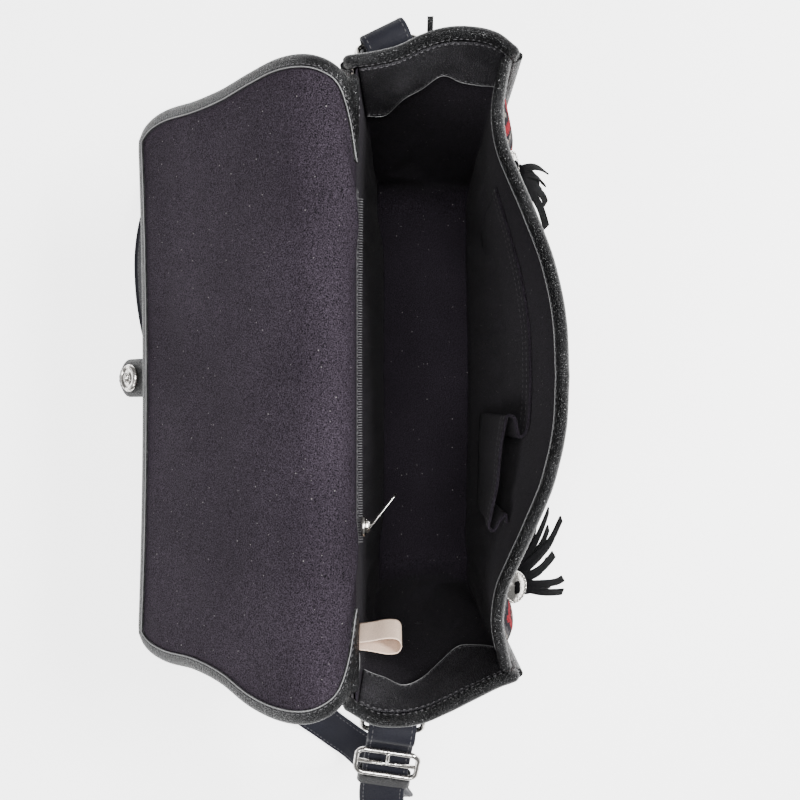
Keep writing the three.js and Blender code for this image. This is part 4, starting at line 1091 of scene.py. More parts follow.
class Finish(Enum):
    """The finishes of the bag, each with the name of its slot."""

    JACQUARD = "jacquard"
    LEATHER = "leather"
    SOFT_LEATHER = "soft_leather"
    STRAP = "strap_leather"
    LINING = "lining_cloth"
    ZIP = "zip_nylon"
    METAL = "nickel"
    LABEL = "label_cloth"
    THREAD = "thread"
    # Pale leather cords along binding and facing edges: a painted highlight.
    EDGE = "edge"
    TASSEL = "tassel"
    # Darker copy of the lining cloth for the bag's inside: painted shade.
    SHADED_INNER = "inner"

    @property
    def slot(self) -> str:
        """The slot that this finish belongs to."""
        if self is Finish.SHADED_INNER:
            return Finish.LINING.value
        return "leather" if self in (
            Finish.THREAD, Finish.SOFT_LEATHER, Finish.EDGE, Finish.TASSEL
        ) else self.value


@dataclass
class Dresser:
    """Makes the materials and places finished pieces on the frame."""

    materials: dict[Finish, bpy.types.Material] = field(default_factory=dict)
    pieces: int = 0

    def mix_finishes(self) -> None:
        """Make every material."""
        groups = Groups.build()
        recipes = {
            Finish.JACQUARD: JacquardFinish("blanket_jacquard"),
            Finish.LEATHER: LeatherFinish("binding_leather", gathers=2.4),
            Finish.SOFT_LEATHER: LeatherFinish(
                "facing_leather", (
                    0.013, 0.012, 0.0145
                ), (0.085, 0.08, 0.088), pebble=1.4, roughness=0.42, relief=1.3
            ),
            # Pale grey cord leather: painted highlight along the edges of bindings and facings.
            Finish.EDGE: LeatherFinish(
                "painted_edge_highlight", (0.13, 0.13, 0.132), (0.36, 0.36, 0.36), pebble=0.7, relief=0.4
            ),
            Finish.STRAP: LeatherFinish(
                "strap_leather", (
                    0.005, 0.0052, 0.0088
                ), (0.013, 0.0135, 0.02), pebble=0.8, roughness=0.55, relief=0.35, shine=0.16
            ),
            Finish.TASSEL: LeatherFinish(
                "tassel_leather", (
                    0.002, 0.002, 0.0023
                ), (0.01, 0.01, 0.011), pebble=0.8, roughness=0.8, relief=0.6, shine=0.02
            ),
            Finish.LINING: TwillFinish("lining_twill"),
            # Same lining twill made darker for the inside of the bag: painted shade of the interior.
            Finish.SHADED_INNER: TwillFinish("shaded_inner_twill", (0.036, 0.0295, 0.04), sheen=0.028),
            Finish.ZIP: ThreadFinish("zip_tape", (0.012, 0.011, 0.013), 0.6, 0.4),
            Finish.METAL: MetalFinish("silver_metal"),
            Finish.LABEL: ThreadFinish("label_satin", (0.4, 0.3, 0.235), 0.7, 0.3),
            Finish.THREAD: ThreadFinish("black_thread"),
        }
        for finish, recipe in recipes.items():
            self.materials[finish] = recipe.build(groups)

    def place(self, name: str, mesh: bpy.types.Mesh, finish: Finish, *nodes: str) -> bpy.types.Object:
        """Put a finished mesh on the frame.

        Args:
            name: Name of the piece.
            mesh: Its mesh, in metres and in place.
            finish: Its finish.
            *nodes: CAD nodes that it stands for.

        Returns:
            The piece.
        """
        piece = bpy.data.objects.new(name, mesh)
        bpy.context.scene.collection.objects.link(piece)
        mesh.materials.clear()
        mesh.materials.append(self.materials[finish])
        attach(piece, "root")
        if nodes:
            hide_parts(*nodes)
        self.pieces += 1
        log.info("%s: %d faces", name, len(mesh.polygons))
        return piece


def join_meshes(name: str, meshes: Sequence[bpy.types.Mesh]) -> bpy.types.Mesh:
    """Put several meshes in one.

    Args:
        name: Name of the new mesh.
        meshes: Meshes in metres, in place.

    Returns:
        The joined mesh.
    """
    made = bmesh.new()
    for mesh in meshes:
        made.from_mesh(mesh)
    joined = bpy.data.meshes.new(name)
    made.to_mesh(joined)
    made.free()
    joined.shade_smooth()
    return joined


@dataclass
class Stitching:
    """Collects the sewing lines and makes their stitches in one go."""

    length: float = 2.5
    pitch: float = 3.4
    thick: float = 0.62
    runs: list[list[Point]] = field(default_factory=list)

    def sew(self, points: Sequence[Point]) -> None:
        """Add a sewing line through points, in millimetres."""
        if len(points) > 1:
            self.runs.append(list(points))

    def tree(self, material: bpy.types.Material) -> bpy.types.NodeTree:
        """Geometry tree that lays a stitch at every pitch of each curve.

        Args:
            material: The thread.

        Returns:
            The tree, with the inputs Pitch, Length and Thickness.
        """
        tree = bpy.data.node_groups.new("stitch_run", "GeometryNodeTree")
        tree.interface.new_socket("Geometry", in_out="INPUT", socket_type="NodeSocketGeometry")
        for label in ("Pitch", "Length", "Thickness"):
            tree.interface.new_socket(label, in_out="INPUT", socket_type=FLOAT)
        tree.interface.new_socket("Geometry", in_out="OUTPUT", socket_type="NodeSocketGeometry")
        n = Nodes(tree)
        source = n.add("NodeGroupInput")
        spots = n.add(
            "GeometryNodeCurveToPoints",
            {"Curve": source.outputs[0], "Length": source.outputs["Pitch"]},
            mode="LENGTH",
        )
        turned = n.add("FunctionNodeAlignRotationToVector", {"Vector": spots.outputs["Tangent"]}, axis="X")
        stitch = n.add("GeometryNodeMeshUVSphere", {"Segments": 6, "Rings": 4, "Radius": 0.5})
        size = n.add(
            "ShaderNodeCombineXYZ",
            {0: source.outputs["Length"], 1: source.outputs["Thickness"], 2: source.outputs["Thickness"]},
        )
        laid = n.add(
            "GeometryNodeInstanceOnPoints",
            {
                "Points": spots.outputs["Points"],
                "Instance": stitch.outputs["Mesh"],
                "Rotation": turned.outputs[0],
                "Scale": size.outputs[0],
            },
        )
        real = n.add("GeometryNodeRealizeInstances", {0: laid.outputs[0]})
        painted = n.add("GeometryNodeSetMaterial", {"Geometry": real.outputs[0], "Material": material})
        out = n.add("NodeGroupOutput")
        tree.links.new(painted.outputs[0], out.inputs[0])
        return tree

    def make(self, dresser: Dresser) -> None:
        """Make all stitches as one piece."""
        curve = bpy.data.curves.new("sewing_lines", "CURVE")
        curve.dimensions = "3D"
        for run in self.runs:
            spline = curve.splines.new("POLY")
            spline.points.add(len(run) - 1)
            for place, point in zip(spline.points, run):
                place.co = (*(point * MM), 1.0)
        material = dresser.materials[Finish.THREAD]
        values = {"Pitch": self.pitch * MM, "Length": self.length * MM, "Thickness": self.thick * MM}
        mesh = grow(curve, self.tree(material), values, "stitches")
        dresser.place("stitches", mesh, Finish.THREAD)


def grow(
    data: bpy.types.ID, tree: bpy.types.NodeTree, values: dict[str, object], name: str
) -> bpy.types.Mesh:
    """Run a geometry tree on a curve or mesh and keep the result as a plain mesh.

    Args:
        data: The curve or mesh.
        tree: The geometry tree.
        values: The tree's inputs by name.
        name: Name of the new mesh.

    Returns:
        The mesh.
    """
    holder = bpy.data.objects.new(name + "_lines", data)
    bpy.context.scene.collection.objects.link(holder)
    modifier = holder.modifiers.new("grow", "NODES")
    modifier.node_group = tree
    for item in tree.interface.items_tree:
        if item.item_type == "SOCKET" and item.in_out == "INPUT" and item.name in values:
            modifier[item.identifier] = values[item.name]
    holder.update_tag()
    graph = bpy.context.evaluated_depsgraph_get()
    mesh = bpy.data.meshes.new_from_object(holder.evaluated_get(graph))
    mesh.name = name
    holder.modifiers.remove(modifier)
    bpy.data.objects.remove(holder)
    mesh.shade_smooth()
    return mesh


@dataclass
class Walls:
    """The woven front and back, the leather ends and the base."""

    cloth: float = 1.3
    leather: float = 1.4
    columns: int = 110
    rows: int = 46
    corner_rows: int = 9
    slack: float = 0.5
    pucker: float = 9.0

    def heights(self, inset: float, top: float, rows: int) -> list[float]:
        """Heights of a wall's rows from its foot to its top."""
        radius = SHAPE.corner
        corner = [radius - (radius - inset) * math.cos(s * math.pi / 2) for s in shares(self.corner_rows)]
        return corner + [lerp(radius, top, s) for s in shares(rows)[1:]]

    def broad(self, face: Face, dresser: Dresser) -> None:
        """Make the front or back wall."""
        seam = 1.0 if face is Face.FRONT else 0.0
        top = SHAPE.panel_top if face is Face.FRONT else SHAPE.back_top
        side_inset = 2.1
        rows = []
        for z in self.heights(side_inset, top, self.rows):
            row = []
            for s in shares(self.columns):
                share = lerp(-1, 1, s)
                x = abs(share) * SHAPE.wall_x(-1 if share < 0 else 1, seam, z, side_inset)
                y = SHAPE.wall_y(face.value, x, z, 0.0)
                soft = ripple(x, z, 5.0 * face.value, 34) + 0.4 * ripple(x, z, 9.0, 13)
                hold = smooth((1 - abs(share)) * 9) * smooth((top - z) / 20)
                if face is Face.FRONT:
                    y -= self.pucker * math.exp(-(((abs(x) - 141) / 20) ** 2) - ((z - 206) / 26) ** 2) * hold
                row.append(Vector((x, y + face.value * self.slack * soft * hold, z)))
            rows.append(row if face is Face.FRONT else list(reversed(row)))
        dresser.place(
            f"{face.word}_cloth",
            grid_mesh(f"{face.word}_cloth", rows, self.cloth),
            Finish.JACQUARD,
            f"{face.word}_panel",
        )

    def end(self, side: Side, dresser: Dresser) -> None:
        """Make a leather end that turns under the bag."""
        rows = []
        count = len(self.heights(0.0, 1.0, self.rows // 2))
        for i in range(count):
            row = []
            for across in shares(30):
                z = self.heights(0.0, SHAPE.gusset_top(across), self.rows // 2)[i]
                at = SHAPE.gusset_point(side.value, across, z, 0.0, 0.0)
                soft = ripple(at.y, z, 30.0 * side.value, 30) * smooth(z / 60) * smooth((240 - z) / 20)
                dent = 1.2 * math.exp(-(((z - 120) / 60) ** 2)) * math.sin(math.pi * across)
                at.x -= side.value * (0.35 + dent + 0.7 * soft * math.sin(math.pi * across))
                row.append(at)
            rows.append(list(reversed(row)) if side is Side.RIGHT else row)
        dresser.place(
            f"{side.word}_end",
            grid_mesh(f"{side.word}_end", rows, self.leather),
            Finish.SOFT_LEATHER,
            f"gusset_{side.word}",
        )

    def base(self, dresser: Dresser) -> None:
        """Make the leather underside."""
        half = SHAPE.base_half - SHAPE.corner - SHAPE.gap
        rows = []
        for s in shares(60):
            x = lerp(-half, half, s)
            front, back = SHAPE.front_y(x, 0, 0), SHAPE.back_y(x, 0, 0)
            rows.append([Vector((x, lerp(front, back, t), 0.0)) for t in shares(20)])
        dresser.place(
            "underside", grid_mesh("underside", rows, self.leather), Finish.SOFT_LEATHER, "base_panel"
        )

    def make(self, dresser: Dresser) -> None:
        """Make all walls."""
        self.broad(Face.FRONT, dresser)
        self.broad(Face.BACK, dresser)
        self.end(Side.RIGHT, dresser)
        self.end(Side.LEFT, dresser)
        self.base(dresser)


@dataclass
class LiningBag:
    """The loose twill lining: one open bag that settles in wrinkles."""

    inset: float = 3.3
    broad: int = 84
    narrow: int = 20
    rise_rows: int = 30
    corner_rows: int = 5
    growth: float = 0.055
    cap: float = 5.5
    frames: int = 16

    def ring(self, level: float) -> list[Point]:
        """Points round the bag at a level: 0 is its floor, 1 the top of its corner and 2 its rim."""

        def height(top: float) -> float:
            """Height of the level under a rim."""
            if level <= 1:
                return SHAPE.corner - (SHAPE.corner - self.inset) * math.cos(level * math.pi / 2)
            return lerp(SHAPE.corner, top, level - 1)

        def end(side: int, across: float) -> Point:
            """Point of an end wall."""
            return SHAPE.gusset_point(side, across, height(SHAPE.gusset_top(across)), self.inset, self.inset)

        def wall(face: int, share: float) -> Point:
            """Point of a broad wall, between the two ends."""
            seam = 1.0 if face < 0 else 0.0
            z = height(SHAPE.panel_top if face < 0 else SHAPE.back_top)
            low, high = end(-1, seam).x, end(1, seam).x
            x = lerp(low, high, share)
            return Vector((x, SHAPE.wall_y(face, x, z, self.inset), z))

        return (
            [end(-1, s) for s in shares(self.narrow)[:-1]]
            + [wall(-1, s) for s in shares(self.broad)[:-1]]
            + [end(1, 1 - s) for s in shares(self.narrow)[:-1]]
            + [wall(1, 1 - s) for s in shares(self.broad)[:-1]]
        )

    def shell(self) -> tuple[list[Point], list[tuple], list[list[tuple[float, float]]]]:
        """Points, faces and UVs of the bag, rim first, with its floor as a grid."""
        levels = [2 - s for s in shares(self.rise_rows)] + [1 - s for s in shares(self.corner_rows)[1:]]
        rings = [self.ring(level) for level in levels]
        count = len(rings[0])
        points = [p for ring in rings for p in ring]
        around = running(rings[0] + [rings[0][0]])
        down = running([ring[self.narrow + self.broad // 2] for ring in rings])
        faces = []
        uvs = []
        for r in range(len(rings) - 1):
            for c in range(count):
                n = (c + 1) % count
                faces.append((r * count + c, r * count + n, (r + 1) * count + n, (r + 1) * count + c))
                u0, u1, v0, v1 = (
                    around[c] / UV_MM, around[c + 1] / UV_MM, down[r] / UV_MM, down[r + 1] / UV_MM
                )
                uvs.append([(u0, v0), (u1, v0), (u1, v1), (u0, v1)])
        last = (len(rings) - 1) * count
        floor: dict[tuple[int, int], int] = {}
        for i in range(self.broad + 1):
            for j in range(self.narrow + 1):
                if i == 0:
                    index = last + (self.narrow - j)
                elif i == self.broad:
                    index = last + self.narrow + self.broad + j
                elif j == 0:
                    index = last + self.narrow + i
                elif j == self.narrow:
                    index = last + 2 * self.narrow + self.broad + (self.broad - i)
                else:
                    front = points[last + self.narrow + i]
                    back = points[last + 2 * self.narrow + self.broad + (self.broad - i)]
                    index = len(points)
                    points.append(front.lerp(back, j / self.narrow))
                floor[(i, j)] = index
        for i in range(self.broad):
            for j in range(self.narrow):
                corners = [floor[(i, j)], floor[(i + 1, j)], floor[(i + 1, j + 1)], floor[(i, j + 1)]]
                faces.append(tuple(corners))
                uvs.append([(points[k].x / UV_MM, points[k].y / UV_MM) for k in faces[-1]])
        return points, faces, uvs

    def make(self, dresser: Dresser) -> None:
        """Make the lining and let it settle."""
        points, faces, uvs = self.shell()
        mesh = finish_mesh("lining_bag", points, faces, uvs)
        settle(mesh, lambda p: smooth((p.z / MM - 95) / 90), self.growth, self.cap, self.frames)
        # The lining inside takes the darker twill copy: painted shade.
        piece = dresser.place("lining_bag", mesh, Finish.SHADED_INNER, "lining")
        finer = piece.modifiers.new("finer", "SUBSURF")
        finer.levels = finer.render_levels = 1
        ply = piece.modifiers.new("ply", "SOLIDIFY")
        ply.thickness = 0.8 * MM
        ply.offset = -1.0


def settle(
    mesh: bpy.types.Mesh, held: Callable[[Point], float], growth: float, cap: float, frames: int
) -> None:
    """Let a cloth that is a little too large wrinkle in its place.

    No point moves behind its own place or sinks under the lowest one.

    Args:
        mesh: The cloth, whose normals point away from what backs it.
        held: Share by which a point in metres is held still.
        growth: How much larger the cloth is than its place.
        cap: The furthest that a point moves, in millimetres.
        frames: Steps of the simulation.
    """
    scene = bpy.context.scene
    start = [v.co.copy() for v in mesh.vertices]
    normals = [v.normal.copy() for v in mesh.vertices]
    for vertex in mesh.vertices:
        p = vertex.co / MM
        lift = 0.5 + 0.5 * ripple(p.x, p.y, p.z, 22, 3.0)
        vertex.co += vertex.normal * (lift * 1.2 * MM * (1 - held(vertex.co)))
    cloth_piece = bpy.data.objects.new("settling", mesh)
    scene.collection.objects.link(cloth_piece)
    group = cloth_piece.vertex_groups.new(name="held")
    for index, place in enumerate(start):
        group.add([index], held(place), "REPLACE")
    modifier = cloth_piece.modifiers.new("settle", "CLOTH")
    settings = modifier.settings
    settings.quality = 6
    settings.mass = 0.15
    settings.tension_stiffness = 25
    settings.compression_stiffness = 25
    settings.bending_stiffness = 0.25
    settings.vertex_group_mass = "held"
    settings.shrink_min = -growth
    settings.effector_weights.gravity = 0.25
    modifier.point_cache.frame_start = 1
    modifier.point_cache.frame_end = frames
    for frame in range(1, frames + 1):
        scene.frame_set(frame)
    graph = bpy.context.evaluated_depsgraph_get()
    settled = [v.co.copy() for v in cloth_piece.evaluated_get(graph).data.vertices]
    cloth_piece.modifiers.remove(modifier)
    bpy.data.objects.remove(cloth_piece)
    scene.frame_set(1)
    limit = cap * MM
    lowest = min(was.z for was in start)
    for vertex, was, now, normal in zip(mesh.vertices, start, settled, normals):
        move = now - was
        sink = move.dot(normal)
        if sink < 0:
            move -= normal * sink
        length = move.length
        if length > 1e-9:
            move *= limit * math.tanh(length / limit) / length
        vertex.co = was + move
        vertex.co.z = max(vertex.co.z, lowest)
    mesh.update()


@dataclass
class Facings:
    """Leather facings inside the ends, whose lower edges are scalloped."""

    wall: float = 0.9
    inset: float = 5.3

    def make(self, dresser: Dresser, stitching: Stitching) -> None:
        """Make both facings and their sewing lines."""
        for side in Side:
            rows = []
            for down in shares(22):
                row = []
                for across in shares(44):
                    drop = SHAPE.height * FACING_SCALLOP.at(side.word, across)
                    z = SHAPE.gusset_top(across) - down * drop
                    at = SHAPE.gusset_point(side.value, across, z, self.inset, 4.6)
                    lift = 0.7 * (0.5 + 0.5 * ripple(at.y, z, 7.0 * side.value, 17)) * down
                    at.x -= side.value * lift
                    row.append(at)
                rows.append(list(reversed(row)) if side is Side.LEFT else row)
            rows.reverse()
            mesh = grid_mesh(f"{side.word}_facing", rows, self.wall)
            dresser.place(f"{side.word}_facing", mesh, Finish.SOFT_LEATHER, f"facing_{side.word}")
            inward = Vector((-side.value, 0, 0)) * 0.15
            edge = [p.lerp(q, 0.55) + inward for p, q in zip(rows[0], rows[2])]
            stitching.sew(edge[1:-1])
            upper = [p.lerp(q, 0.35) + inward for p, q in zip(rows[-1], rows[-3])]
            stitching.sew(upper[1:-1])
            # Pale cord along the facing's scalloped lower edge: painted highlight.
            rim = [Station(p, Vector((-side.value, 0, 0)), Vector((0, 0, 1))) for p in rows[0]]
            painted_edge_highlight(f"{side.word}_facing_edge_highlight", rim, 0.0, 0.0, dresser)


def painted_edge_highlight(name: str, stations: Sequence[Station], across: float, up: float, dresser: Dresser) -> None:
    """Make a pale leather cord along a strip's edge, a painted highlight where light catches the edge.

    Args:
        name: Name of the piece.
        stations: Places along the strip.
        across: Place of the edge across each station.
        up: Its height over each station.
        dresser: Places the piece.
    """
    moved = [Station(s.at + s.across * across + s.up * up, s.across, s.up) for s in stations]
    dresser.place(name, sweep_mesh(name, moved, round_section(0.75, 6)), Finish.EDGE)


@dataclass
class Bindings:
    """Rolled leather edges of the mouth and bound seams of the body."""

    seam_width: float = 5.0
    seam_stand: float = 6.0

    def roll(
        self,
        name: str,
        top: list[Point],
        lower: list[Point],
        inwards: float,
        width: float,
        height: float,
        foot: float,
        node: str,
        dresser: Dresser,
        stitching: Stitching,
    ) -> None:
        """Make one rolled edge along the top of a wall.

        Args:
            name: Name of the piece.
            top: The wall's top edge.
            lower: Points below it, which give the wall's lean.
            inwards: 1 or -1, for the way across.
            width: Width of the roll.
            height: Height of the roll.
            foot: Height of its foot over the edge.
            node: The CAD node that it stands for.
            dresser: Places the piece.
            stitching: Takes its sewing lines.
        """
        stations = []
        for i, at in enumerate(top):
            along = (top[min(i + 1, len(top) - 1)] - top[max(i - 1, 0)]).normalized()
            up = (at - lower[i]).normalized()
            across = along.cross(up).normalized() * inwards
            swell = 0.14 * ripple(at.x, at.y, at.z, 11)
            stations.append(Station(at + across * swell, across, across.cross(along).normalized() * inwards))
        reach = running([station.at for station in stations])
        for station, past in zip(stations, reach):
            if station.up.z < 0:
                station.up = -station.up
            over = clamp(1 - min(past, reach[-1] - past) / 3.2)
            station.across *= math.sqrt(1 - 0.8 * over * over)
            station.up *= math.sqrt(1 - 0.5 * over * over)
        section = rounded_bar(width, height, foot, 0.45)
        dresser.place(name, sweep_mesh(name, stations, section), Finish.LEATHER, node)
        for way in (-1, 1):
            line = [s.at + s.across * (way * (width / 2 + 0.02)) + s.up * (foot + 1.9) for s in stations]
            stitching.sew(line[6:-6])
        # Pale cord along the roll's inner foot: painted highlight.
        painted_edge_highlight(f"{name}_edge", stations[6:-6], -width / 2, foot + 0.25, dresser)

    def front_rim(self, dresser: Dresser, stitching: Stitching) -> None:
        """Make the front rim's rolled edge."""
        middle = 1.65
        reach = 0.985

        def edge(z: float) -> list[Point]:
            """Line along the wall's middle at a height."""
            line = []
            for s in shares(150):
                share = lerp(-reach, reach, s)
                x = abs(share) * SHAPE.wall_x(-1 if share < 0 else 1, 1.0, z, 2.1)
                line.append(Vector((x, SHAPE.front_y(x, z, middle), z)))
            return line

        top, low = SHAPE.panel_top, SHAPE.panel_top - SHAPE.binding_height
        self.roll(
            "front_rim",
            edge(top),
            edge(low),
            1,
            SHAPE.binding_width,
            SHAPE.binding_height,
            0.3,
            "binding_front_rim",
            dresser,
            stitching,
        )

    def end_rims(self, dresser: Dresser, stitching: Stitching) -> None:
        """Make the ends' rolled edges, which run past the seams."""
        for side in Side:

            def edge(below: float, side: Side = side) -> list[Point]:
                """Line along the end's top, with its two overhanging tips."""
                line = [
                    SHAPE.gusset_point(
                        side.value, a, SHAPE.gusset_top(a) - below, 2.2, 0.0
                    ) for a in shares(60)
                ]
                tips = (4.2, 4.0, 3.4, 2.4, 1.2)
                first = [line[0] + (line[0] - line[1]).normalized() * d for d in tips]
                last = [line[-1] + (line[-1] - line[-2]).normalized() * d for d in reversed(tips)]
                return first + line + last

            width = SHAPE.binding_width - 0.6
            self.roll(
                f"{side.word}_rim",
                edge(0.0),
                edge(SHAPE.binding_height),
                side.value,
                width,
                SHAPE.binding_height,
                0.8,
                f"binding_gusset_{side.word}",
                dresser,
                stitching,
            )

    def back_rim(self, dresser: Dresser, stitching: Stitching) -> None:
        """Make the short rolled edges beside the flap's hinge."""
        top = SHAPE.back_top
        for side in Side:
            start = abs(FLAP.shift + side.value * FLAP.half * 0.72) + 9
            finish = SHAPE.half_length(side.value, 0.0, top) - 2.2 - 3.3 - 3

            def edge(
                z: float, side: Side = side, start: float = start, finish: float = finish
            ) -> list[Point]:
                """Line along the wall's middle at a height."""
                line = []
                for s in shares(16):
                    x = side.value * lerp(start, finish, s)
                    line.append(Vector((x, SHAPE.back_y(x, z, 1.65), z)))
                return line

            self.roll(
                f"back_rim_{side.word}",
                edge(top),
                edge(top - 8),
                1,
                SHAPE.binding_width,
                4.4,
                0.3,
                f"binding_back_{side.word}",
                dresser,
                stitching,
            )

    def seams(self, dresser: Dresser, stitching: Stitching) -> None:
        """Make the bound seams down the corners and along the base."""
        for face in Face:
            seam = 1.0 if face is Face.FRONT else 0.0
            top = SHAPE.gusset_top(seam) - 0.3
            path: list[tuple[float, float, Point]] = []

            def upright(side: int, seam: float = seam, top: float = top) -> list[tuple[float, float, Point]]:
                """Places up one corner, from the base."""
                places = []
                for s in shares(10)[:-1]:
                    turn = s * math.pi / 2
                    z = SHAPE.corner * (1 - math.cos(turn))
                    places.append(
                        (
                            SHAPE.wall_x(side, seam, z, 0.0),
                            z,
                            Vector((side * math.sin(turn), 0, -math.cos(turn))),
                        )
                    )
                for s in shares(48):
                    z = lerp(SHAPE.corner, top, s)
                    places.append((SHAPE.wall_x(side, seam, z, 0.0), z, Vector((side, 0, 0))))
                return places

            inner = SHAPE.base_half - SHAPE.corner
            base = [(lerp(-inner, inner, s), 0.0, Vector((0, 0, -1))) for s in shares(60)[1:-1]]
            path = list(reversed(upright(-1))) + base + upright(1)
            stations = []
            for x, z, out in path:
                y = SHAPE.wall_y(face.value, x, z, 0.0) + face.value * 0.3
                at = Vector((x, y, z)) - out * (self.seam_width / 2)
                stations.append(Station(at, out, Vector((0, face.value, 0))))
            section = rounded_bar(self.seam_width, self.seam_stand, 0.0, 0.5)
            dresser.place(
                f"{face.word}_seam",
                sweep_mesh(f"{face.word}_seam", stations, section),
                Finish.LEATHER,
                f"seam_{face.word}",
            )
            for way in (-1, 1):
                line = [s.at + s.across * (way * (self.seam_width / 2 + 0.02)) + s.up * 1.8 for s in stations]
                stitching.sew([p for p in line if p.z > 0.6])

    def make(self, dresser: Dresser, stitching: Stitching) -> None:
        """Make all bindings of the body."""
        self.front_rim(dresser, stitching)
        self.end_rims(dresser, stitching)
        self.back_rim(dresser, stitching)
        self.seams(dresser, stitching)


@dataclass
class Flap:
    """The flap, thrown back over the bag's rear."""

    length: float = 208.0
    half: float = 178.0
    shift: float = -5.0
    dip: float = 8.0
    shoulder: float = 4.0
    lining: float = 1.0
    cloth: float = 1.8
    gap: float = 0.3
    width: float = 5.8
    height: float = 8.0

    def at(self, across: float, along: float, edge: float = 0.0) -> Point:
        """A point of the flap's lined face.

        Args:
            across: From -1 to 1.
            along: From the hinge at 0 to the tip at 1.
            edge: How far the sides are drawn in.

        Returns:
            The point.
        """
        side = Side.RIGHT if across > 0 else Side.LEFT
        half = self.half * FLAP_OUTLINE.at(side.word, clamp(along)) - edge
        near_hinge = math.sin(math.pi * clamp(along / 0.22))
        near_end = math.exp(-(((abs(across) - 0.72) / 0.13) ** 2))
        bulge = self.shoulder * near_hinge * near_end
        dip = self.dip * (1 - abs(across) ** 2) * clamp(along) ** 3
        place = along - dip / self.length
        back = self.length * FLAP_DRAPE.at("back", place)
        up = self.length * FLAP_DRAPE.at("up", place)
        return Vector(
            (
                self.shift + across * half,
                SHAPE.back_seam_rim - 3.3 + back - bulge,
                SHAPE.back_top + self.gap + up,
            )
        )

    def softness(self, p: Point) -> float:
        """How far the cloth lies off its smooth form at a point."""
        slack = 0.9 * ripple(p.x, p.y, p.z, 46, 1.0) + 0.35 * ripple(p.x, p.y, p.z, 15, 2.0)
        creases = ((59, 62, 0.35, 1.1), (8, 66, -0.25, 0.9), (-70, 58, 0.3, 0.8), (118, 70, -0.4, 0.9))
        for x, y, slant, depth in creases:
            along = (p.x - x) * slant + (p.y - y)
            beside = (p.x - x) - (p.y - y) * slant
            slack -= depth * math.exp(-((along / 17) ** 2) - (beside / 3.2) ** 2)
        return slack

    def grid(self, depth: float, trim: float, columns: int = 130, rows: int = 84) -> list[list[Point]]:
        """Grid of a ply, depth under the lined face, whose edges are trimmed."""
        tip = 1 - trim / self.length
        reach = 1e-3
        made = []
        for s in shares(rows):
            along = tip * s
            drawn = trim * clamp(along * 20)
            row = []
            for t in shares(columns):
                across = lerp(-1, 1, t)
                along_x = self.at(across + reach, along, drawn) - self.at(across - reach, along, drawn)
                along_y = self.at(across, along + reach, drawn) - self.at(
                    across, max(along - reach, 0), drawn
                )
                normal = along_x.cross(along_y).normalized()
                p = self.at(across, along, drawn)
                hold = smooth(along * 12) * smooth((1 - along) * 14) * smooth((1 - abs(across)) * 12)
                row.append(p + normal * (self.softness(p) * hold - depth))
            made.append(row)
        return made

    def outline(self, depth: float, trim: float) -> list[Point]:
        """Line round the flap from one end of the hinge to the other."""
        tip = 1 - trim / self.length
        reach = 1e-3

        def spot(across: float, along: float) -> Point:
            """Point of the middle ply."""
            drawn = trim * clamp(along * 20)
            along_x = self.at(across + reach, along, drawn) - self.at(across - reach, along, drawn)
            along_y = self.at(across, along + reach, drawn) - self.at(across, max(along - reach, 0), drawn)
            return self.at(across, along, drawn) - along_x.cross(along_y).normalized() * depth

        down = [tip * s for s in shares(90)]
        across = [lerp(-1, 1, s) for s in shares(110)[1:-1]]
        return [spot(-1, a) for a in down] + [spot(c, tip) for c in across] + [
            spot(1, a) for a in reversed(down)
        ]

    def make(self, dresser: Dresser, stitching: Stitching) -> None:
        """Make the flap's plies and its rolled edge."""
        trim = self.height - 1.6
        lining = grid_mesh("flap_twill", self.grid(0.0, trim), self.lining)
        dresser.place("flap_twill", lining, Finish.LINING, "flap_lining")
        cloth = grid_mesh("flap_cloth", [list(reversed(row)) for row in self.grid(3.1, trim)], 0.9)
        dresser.place("flap_cloth", cloth, Finish.JACQUARD, "flap")
        middle = (self.lining + self.gap + self.cloth) / 2
        foot = self.outline(middle, self.height)
        crown = self.outline(middle, 0.0)
        stations = []
        for i in range(1, len(foot) - 1):
            along = (foot[i + 1] - foot[i - 1]).normalized()
            raw = crown[i] - foot[i]
            up = (raw - along * raw.dot(along)).normalized()
            stations.append(Station(foot[i], along.cross(up).normalized(), up))
        section = rounded_bar(self.width, self.height, 0.0, 0.5)
        dresser.place("flap_rim", sweep_mesh("flap_rim", stations, section), Finish.LEATHER, "binding_flap")
        for way in (-1, 1):
            line = [s.at + s.across * (way * (self.width / 2 + 0.02)) + s.up * 1.7 for s in stations]
            stitching.sew(line[3:-3])
            # Pale cords along both feet of the flap's roll: painted highlight.
            painted_edge_highlight(f"flap_edge_highlight_{way + 2}", stations[2:-2], way * self.width / 2, 0.2, dresser)


FLAP = Flap()


